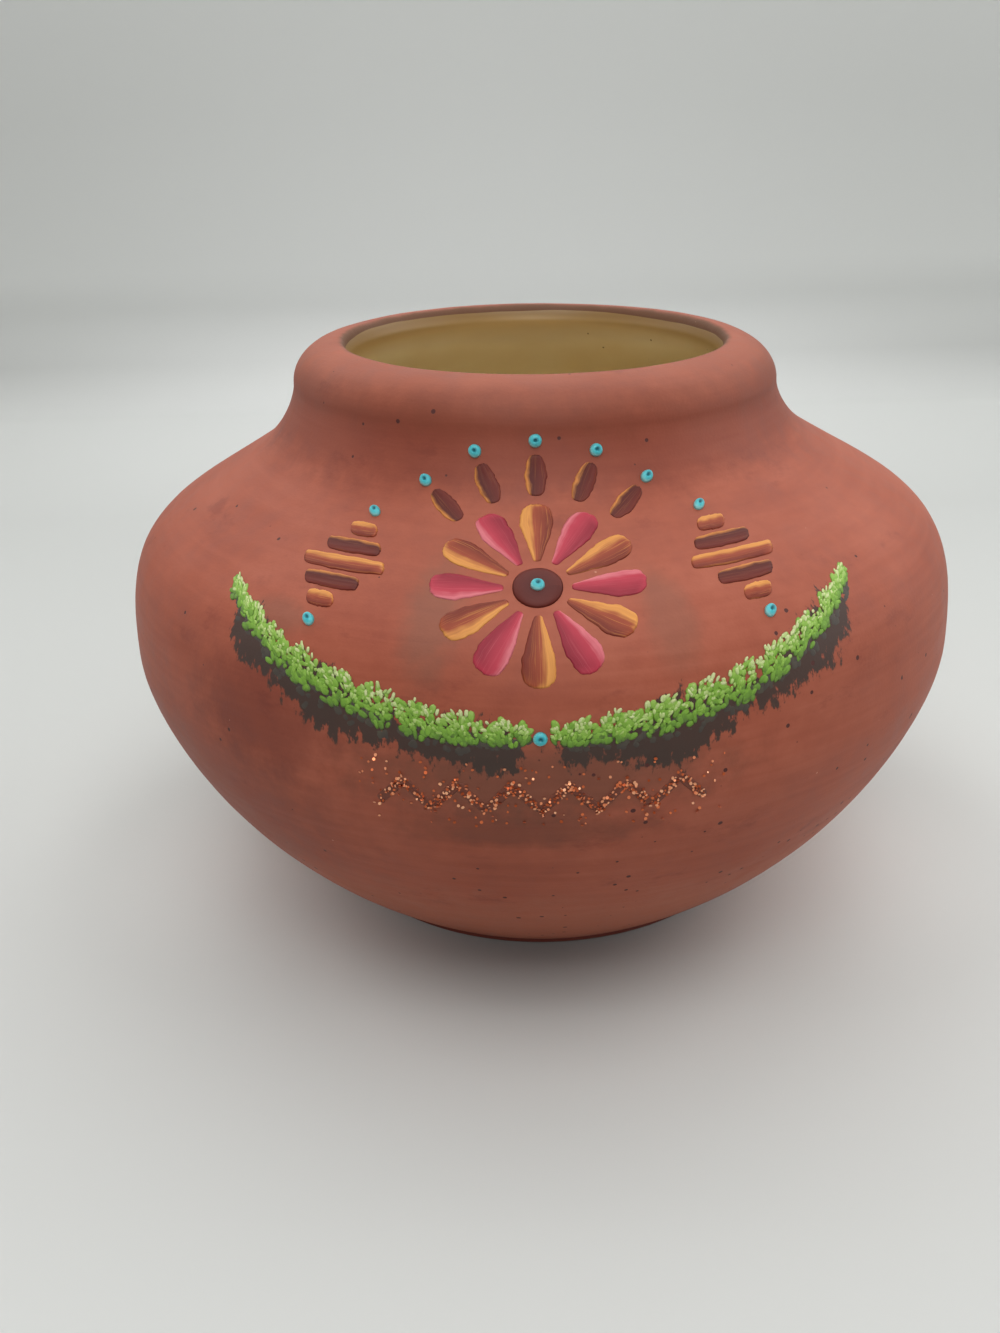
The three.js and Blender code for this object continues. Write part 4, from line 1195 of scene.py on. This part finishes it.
# Glaze inside, in mm: a thin shell that nests in the clay. Its upper edge dives under the lip's
# surface, so that the line where it stops wanders as poured glaze does.
glaze = {
    "film": 0.35,
    "buried": 0.3,
    "line": 1.8,  # where it stops, up from the lip's inner edge
    "taper": 1.5,
    "edgeSteps": 8,  # steps that the shell runs on past that edge
    "tones": ((0.34, "#ebd49c"), (0.66, "#f1dfad")),
    "driftSize": 16,
    "thinAndShadedTone": "#ba965c",
    "thin": (91.8, 98),  # heights where it starts to lie thin and take painted shade, and where both are fullest
    "paintedLightAside": 0.06,  # it starts so much higher for each mm aside, so that the sides stay paler: painted light
    "bentAndShadedTone": "#8a6834",
    "bent": (2.4, 0.5),  # mm under its line where the darker tone of its edge, thin glaze and painted shade, starts, and where it is full
    "bentAside": 0.06,  # it starts so much lower for each mm aside
    "speckTone": "#8a6b40",
    "speckGap": 3.0,
    "pullSize": 3.5,
}


# Olive glaze, poured in and fired to a satin: an even, soft shine with a slow drift of tone and a
# few iron specks. It is darker near its line, where it lies thin and with painted shade, paler to the sides
# as painted light, and darkest where it bends over the lip, thin there and with painted shade where that
# edge catches the light
def oliveGlazeMaterial(outlineLength, lineArc):
    material, tree, shader = newMaterial("oliveSatinGlaze", Roughness=0.4, IOR=1.5)
    place = addNode(tree, "ShaderNodeTexCoord").outputs["Object"]
    drift = addNode(tree, "ShaderNodeTexNoise", {
        "Vector": place, "Scale": 1000 / glaze["driftSize"], "Detail": 4})
    ground = addNode(tree, "ShaderNodeValToRGB", {0: drift}, tones=glaze["tones"])

    # Near the line it darkens, thin glaze and painted shade; to the sides, painted light keeps it paler
    spot = addNode(tree, "ShaderNodeSeparateXYZ", {0: place}).outputs
    aside = addNode(tree, "ShaderNodeMath", {0: spot["X"]}, operation="ABSOLUTE")
    thinStart = addNode(tree, "ShaderNodeMath", {
        0: aside, 1: glaze["paintedLightAside"], 2: glaze["thin"][0] * mm}, operation="MULTIPLY_ADD")
    thin = addNode(tree, "ShaderNodeMapRange", {
        "Value": spot["Z"], "From Min": thinStart, "From Max": glaze["thin"][1] * mm},
        interpolation_type="SMOOTHSTEP")

    # How far it lies under its line, in mm, from the share of the outline's length in its wallMap
    wallMap = addNode(tree, "ShaderNodeUVMap", uv_map="wallMap")
    arcShare = addNode(tree, "ShaderNodeSeparateXYZ", {0: wallMap}).outputs["Y"]
    underLine = addNode(tree, "ShaderNodeMath", {
        0: arcShare, 1: outlineLength, 2: lineArc - outlineLength}, operation="MULTIPLY_ADD")
    bentStart = addNode(tree, "ShaderNodeMath", {
        0: aside, 1: glaze["bentAside"] / mm, 2: glaze["bent"][0]}, operation="MULTIPLY_ADD")
    bent = addNode(tree, "ShaderNodeMapRange", {
        "Value": underLine, "From Min": bentStart, "From Max": glaze["bent"][1]},
        interpolation_type="SMOOTHSTEP")
    specks = spots(tree, place, glaze["speckGap"], 0.86, 0.3, 5.3)
    pulls = addNode(tree, "ShaderNodeTexNoise", {
        "Vector": place, "Scale": 1000 / glaze["pullSize"], "Detail": 2})
    bump = addNode(tree, "ShaderNodeBump", {"Strength": 0.2, "Distance": 0.0001, "Height": pulls})
    coats = [(thin, glaze["thinAndShadedTone"]), (bent, glaze["bentAndShadedTone"]), (specks, glaze["speckTone"])]
    setInputs(tree, shader, {"Base Color": layCoats(tree, ground, coats), "Normal": bump})
    return material


interior = evenly(inside, pot["insideStep"])
coat = interior + evenly(lipInside[::-1], pot["edgeStep"])[1:glaze["edgeSteps"] + 1]
coatArcs = arcs(coat)
lineArc = coatArcs[len(interior) - 1] + glaze["line"]
surface = []
for point, off, arc in zip(coat, beside(coat, 1), coatArcs):
    share = min(max((lineArc - arc) / glaze["taper"], -0.7), 1)
    surface.append(point + (off - point) * glaze["film"] * share)
surface[0] = Vector((0, pot["floor"] + glaze["film"]))
buried = [
    point + (point - off) * glaze["buried"] for point, off in zip(coat, beside(coat, 1))]
buried[0] = Vector((0, pot["floor"] - glaze["buried"]))
coatOutline = buried + surface[::-1]
oliveGlaze = oliveGlazeMaterial(arcs(coatOutline)[-1], lineArc)
glazeCoat = throwOutline("glaze_coat", coatOutline, oliveGlaze, handDepth=0.00004, handSize=0.016, seed=8.0)
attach(glazeCoat, "root")
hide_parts("interior_glaze")
print("glaze")

# The camera stands where the photograph was taken from: metres, degrees and mm
camera = {
    "place": (0, -0.23474, 0.14199),
    "down": 24.22,
    "left": 1.89,
    "roll": 1.78,
    "lens": 35.11,
    "sensor": 36,
    "nearest": 0.01,
}


def setCamera():
    down, left, roll = (math.radians(camera[key]) for key in ("down", "left", "roll"))
    right = Vector((math.cos(left), math.sin(left), 0))
    forward = Vector((-math.sin(left) * math.cos(down), math.cos(left) * math.cos(down), -math.sin(down)))
    up = right.cross(forward)
    data = bpy.data.cameras.new("camera")
    data.lens = camera["lens"]
    data.sensor_width = camera["sensor"]
    data.clip_start = camera["nearest"]
    holder = bpy.data.objects.new("camera", data)
    across = right * math.cos(roll) - up * math.sin(roll)
    upwards = right * math.sin(roll) + up * math.cos(roll)
    matrix = holder.matrix_world
    for i in range(3):
        matrix[i][0] = across[i]
        matrix[i][1] = upwards[i]
        matrix[i][2] = -forward[i]
        matrix[i][3] = camera["place"][i]
    holder.matrix_world = matrix
    bpy.context.scene.collection.objects.link(holder)
    bpy.context.scene.camera = holder


setCamera()
print("camera")

sky = {
    "light": 0.01,
    "seen": 0.62,  # strength of the pale surround where no paper stands
}


# The rays that show the surround: from the camera, off gloss and through what is clear
def seenRays(tree):
    rays = addNode(tree, "ShaderNodeLightPath").outputs
    seen = addNode(tree, "ShaderNodeMath", {
        0: rays["Is Camera Ray"], 1: rays["Is Glossy Ray"]}, operation="MAXIMUM")
    return addNode(tree, "ShaderNodeMath", {0: seen, 1: rays["Is Transmission Ray"]}, operation="MAXIMUM")


# Pale paper under the pot and up behind it
sweep = {
    "tonesStart": 0.3,  # metres in front of the pot's middle
    "tones": (  # metres from there back along the floor and up the wall: painted light and shade on the paper
        (0.18, "#d9dbd8"),
        (0.52, "#cbcdca"),
        (0.67, "#d4d6d3"),
        (0.73, "#bbbdba"),  # painted shade, where the bend faces the lamps
        (0.78, "#dadcd9"),
        (0.85, "#d1d3d0"),
    ),
    "lightAndShadePatches": (  # soft round patches of painted light and shadow: place, reach and colour
        ((-0.03, 0.42, -0.04), 0.3, "#eaecea"),  # painted light, low on the wall
        ((-0.045, -0.01, 0), 0.05, "#fbfdfa"),  # painted light beside the foot, where it thins the shadow
        ((0.045, -0.01, 0), 0.05, "#fbfdfa"),
        ((0, -0.04, 0), 0.04, "#aaacaa"),  # painted shadow in front of it, where it deepens the shadow
    ),
    "bounce": "#b4b6b3",  # what the paper sends back to the pot and to itself
    "fade": (0.66, 1.15),  # metres from the pot over which it passes into the pale surround
    "behind": 0.42,  # metres from the pot to the foot of the wall
    "bend": 0.045,
    "half": 3.0,
    "front": -3.0,
    "height": 2.0,
    "bendSteps": 16,
}


# Uncoated paper: matt and even, without any shine
def paperSweep():
    material, tree, shader = newMaterial("palePaper", Roughness=0.9, Specular_IOR_Level=0.1)
    place = addNode(tree, "ShaderNodeTexCoord").outputs["Object"]
    split = addNode(tree, "ShaderNodeSeparateXYZ", {0: place}).outputs
    back = addNode(tree, "ShaderNodeMath", {0: split["Y"], 1: sweep["tonesStart"]}, operation="ADD")
    along = addNode(tree, "ShaderNodeMath", {0: back, 1: split["Z"]}, operation="ADD")
    ground = addNode(tree, "ShaderNodeValToRGB", {0: along}, tones=sweep["tones"])
    coats = []
    for middle, reach, code in sweep["lightAndShadePatches"]:
        far = addNode(tree, "ShaderNodeVectorMath", {0: place, 1: middle}, operation="DISTANCE")
        inPatch = addNode(tree, "ShaderNodeMapRange", {
            "Value": far, "From Min": reach, "From Max": 0}, interpolation_type="SMOOTHSTEP")
        coats.append((inPatch, code))

    # Light that goes on to the pot or the paper meets one even tone, without ramp, patches or glow
    seen = seenRays(tree)
    bounced = addNode(tree, "ShaderNodeMath", {0: 1, 1: seen}, operation="SUBTRACT")
    coats.append((bounced, sweep["bounce"]))

    # Far off, the paper turns black and glows as bright as the pale surround
    fromPot = addNode(tree, "ShaderNodeVectorMath", {0: place}, operation="LENGTH")
    faded = addNode(tree, "ShaderNodeMapRange", {
        "Value": fromPot, "From Min": sweep["fade"][0], "From Max": sweep["fade"][1]},
        interpolation_type="SMOOTHSTEP")
    fadedHere = addNode(tree, "ShaderNodeMath", {0: faded, 1: seen}, operation="MULTIPLY")
    glowing = addNode(tree, "ShaderNodeMath", {0: fadedHere, 1: sky["seen"]}, operation="MULTIPLY")
    coats.append((fadedHere, "#000000"))
    setInputs(tree, shader, {
        "Base Color": layCoats(tree, ground, coats), "Emission Color": (1, 1, 1, 1),
        "Emission Strength": glowing})

    bend = sweep["bend"]
    line = [(sweep["front"], 0), (sweep["behind"] - bend * 2, 0)]
    for i in range(sweep["bendSteps"] + 1):
        turn = math.pi / 2 * i / sweep["bendSteps"]
        line.append((sweep["behind"] - bend + bend * math.sin(turn), bend - bend * math.cos(turn)))
    line += [(sweep["behind"], bend * 2), (sweep["behind"], sweep["height"])]
    points = [(x, y, z) for y, z in line for x in (-sweep["half"], sweep["half"])]
    faces = [(2 * i, 2 * i + 1, 2 * i + 3, 2 * i + 2) for i in range(len(line) - 1)]
    mesh = bpy.data.meshes.new("paperSweep")
    mesh.from_pydata(points, [], faces)
    mesh.polygons.foreach_set("use_smooth", [True] * len(faces))
    mesh.materials.append(material)
    backdrop = bpy.data.objects.new("paperSweep", mesh)
    bpy.context.scene.collection.objects.link(backdrop)


paperSweep()
print("paper")

# Soft panels: where each stands, what it faces, its width and height in metres, and its watts
panels = {
    "overhead": ((0.0, 0.0, 0.9), (0, 0, 0), (0.8, 0.8), 2.85),
    "overheadFront": ((0.0, -0.5, 0.9), (0, -0.1, 0), (0.9, 0.4), 3.1),
    "leftSide": ((-0.7, 0.0, 0.35), (0, 0, 0.05), (0.8, 0.6), 0.75),
    "rightSide": ((0.7, 0.0, 0.35), (0, 0, 0.05), (0.8, 0.6), 1.75),
    "front": ((0.0, -1.0, 0.5), (0, 0, 0.09), (0.7, 0.4), 2.3),
    "behind": ((0.0, 0.38, 0.4), (0, 0, 0.05), (1.2, 0.6), 2.8),
}


def setLights():
    for name, (place, target, size, power) in panels.items():
        lamp = bpy.data.lights.new(name, "AREA")
        lamp.shape = "RECTANGLE"
        lamp.size, lamp.size_y = size
        lamp.energy = power
        holder = bpy.data.objects.new(name, lamp)
        holder.location = place
        holder.rotation_euler = (Vector(target) - Vector(place)).to_track_quat("-Z", "Y").to_euler()
        bpy.context.scene.collection.objects.link(holder)
    world = bpy.data.worlds.new("studio")
    world.use_nodes = True
    tree = world.node_tree
    strength = addNode(tree, "ShaderNodeMix", {
        "Factor": seenRays(tree), "A": sky["light"], "B": sky["seen"]})
    setInputs(tree, tree.nodes["Background"], {"Color": (1, 1, 1, 1), "Strength": strength})
    bpy.context.scene.world = world
    bpy.context.scene.view_settings.view_transform = "Standard"


setLights()
print("lights")
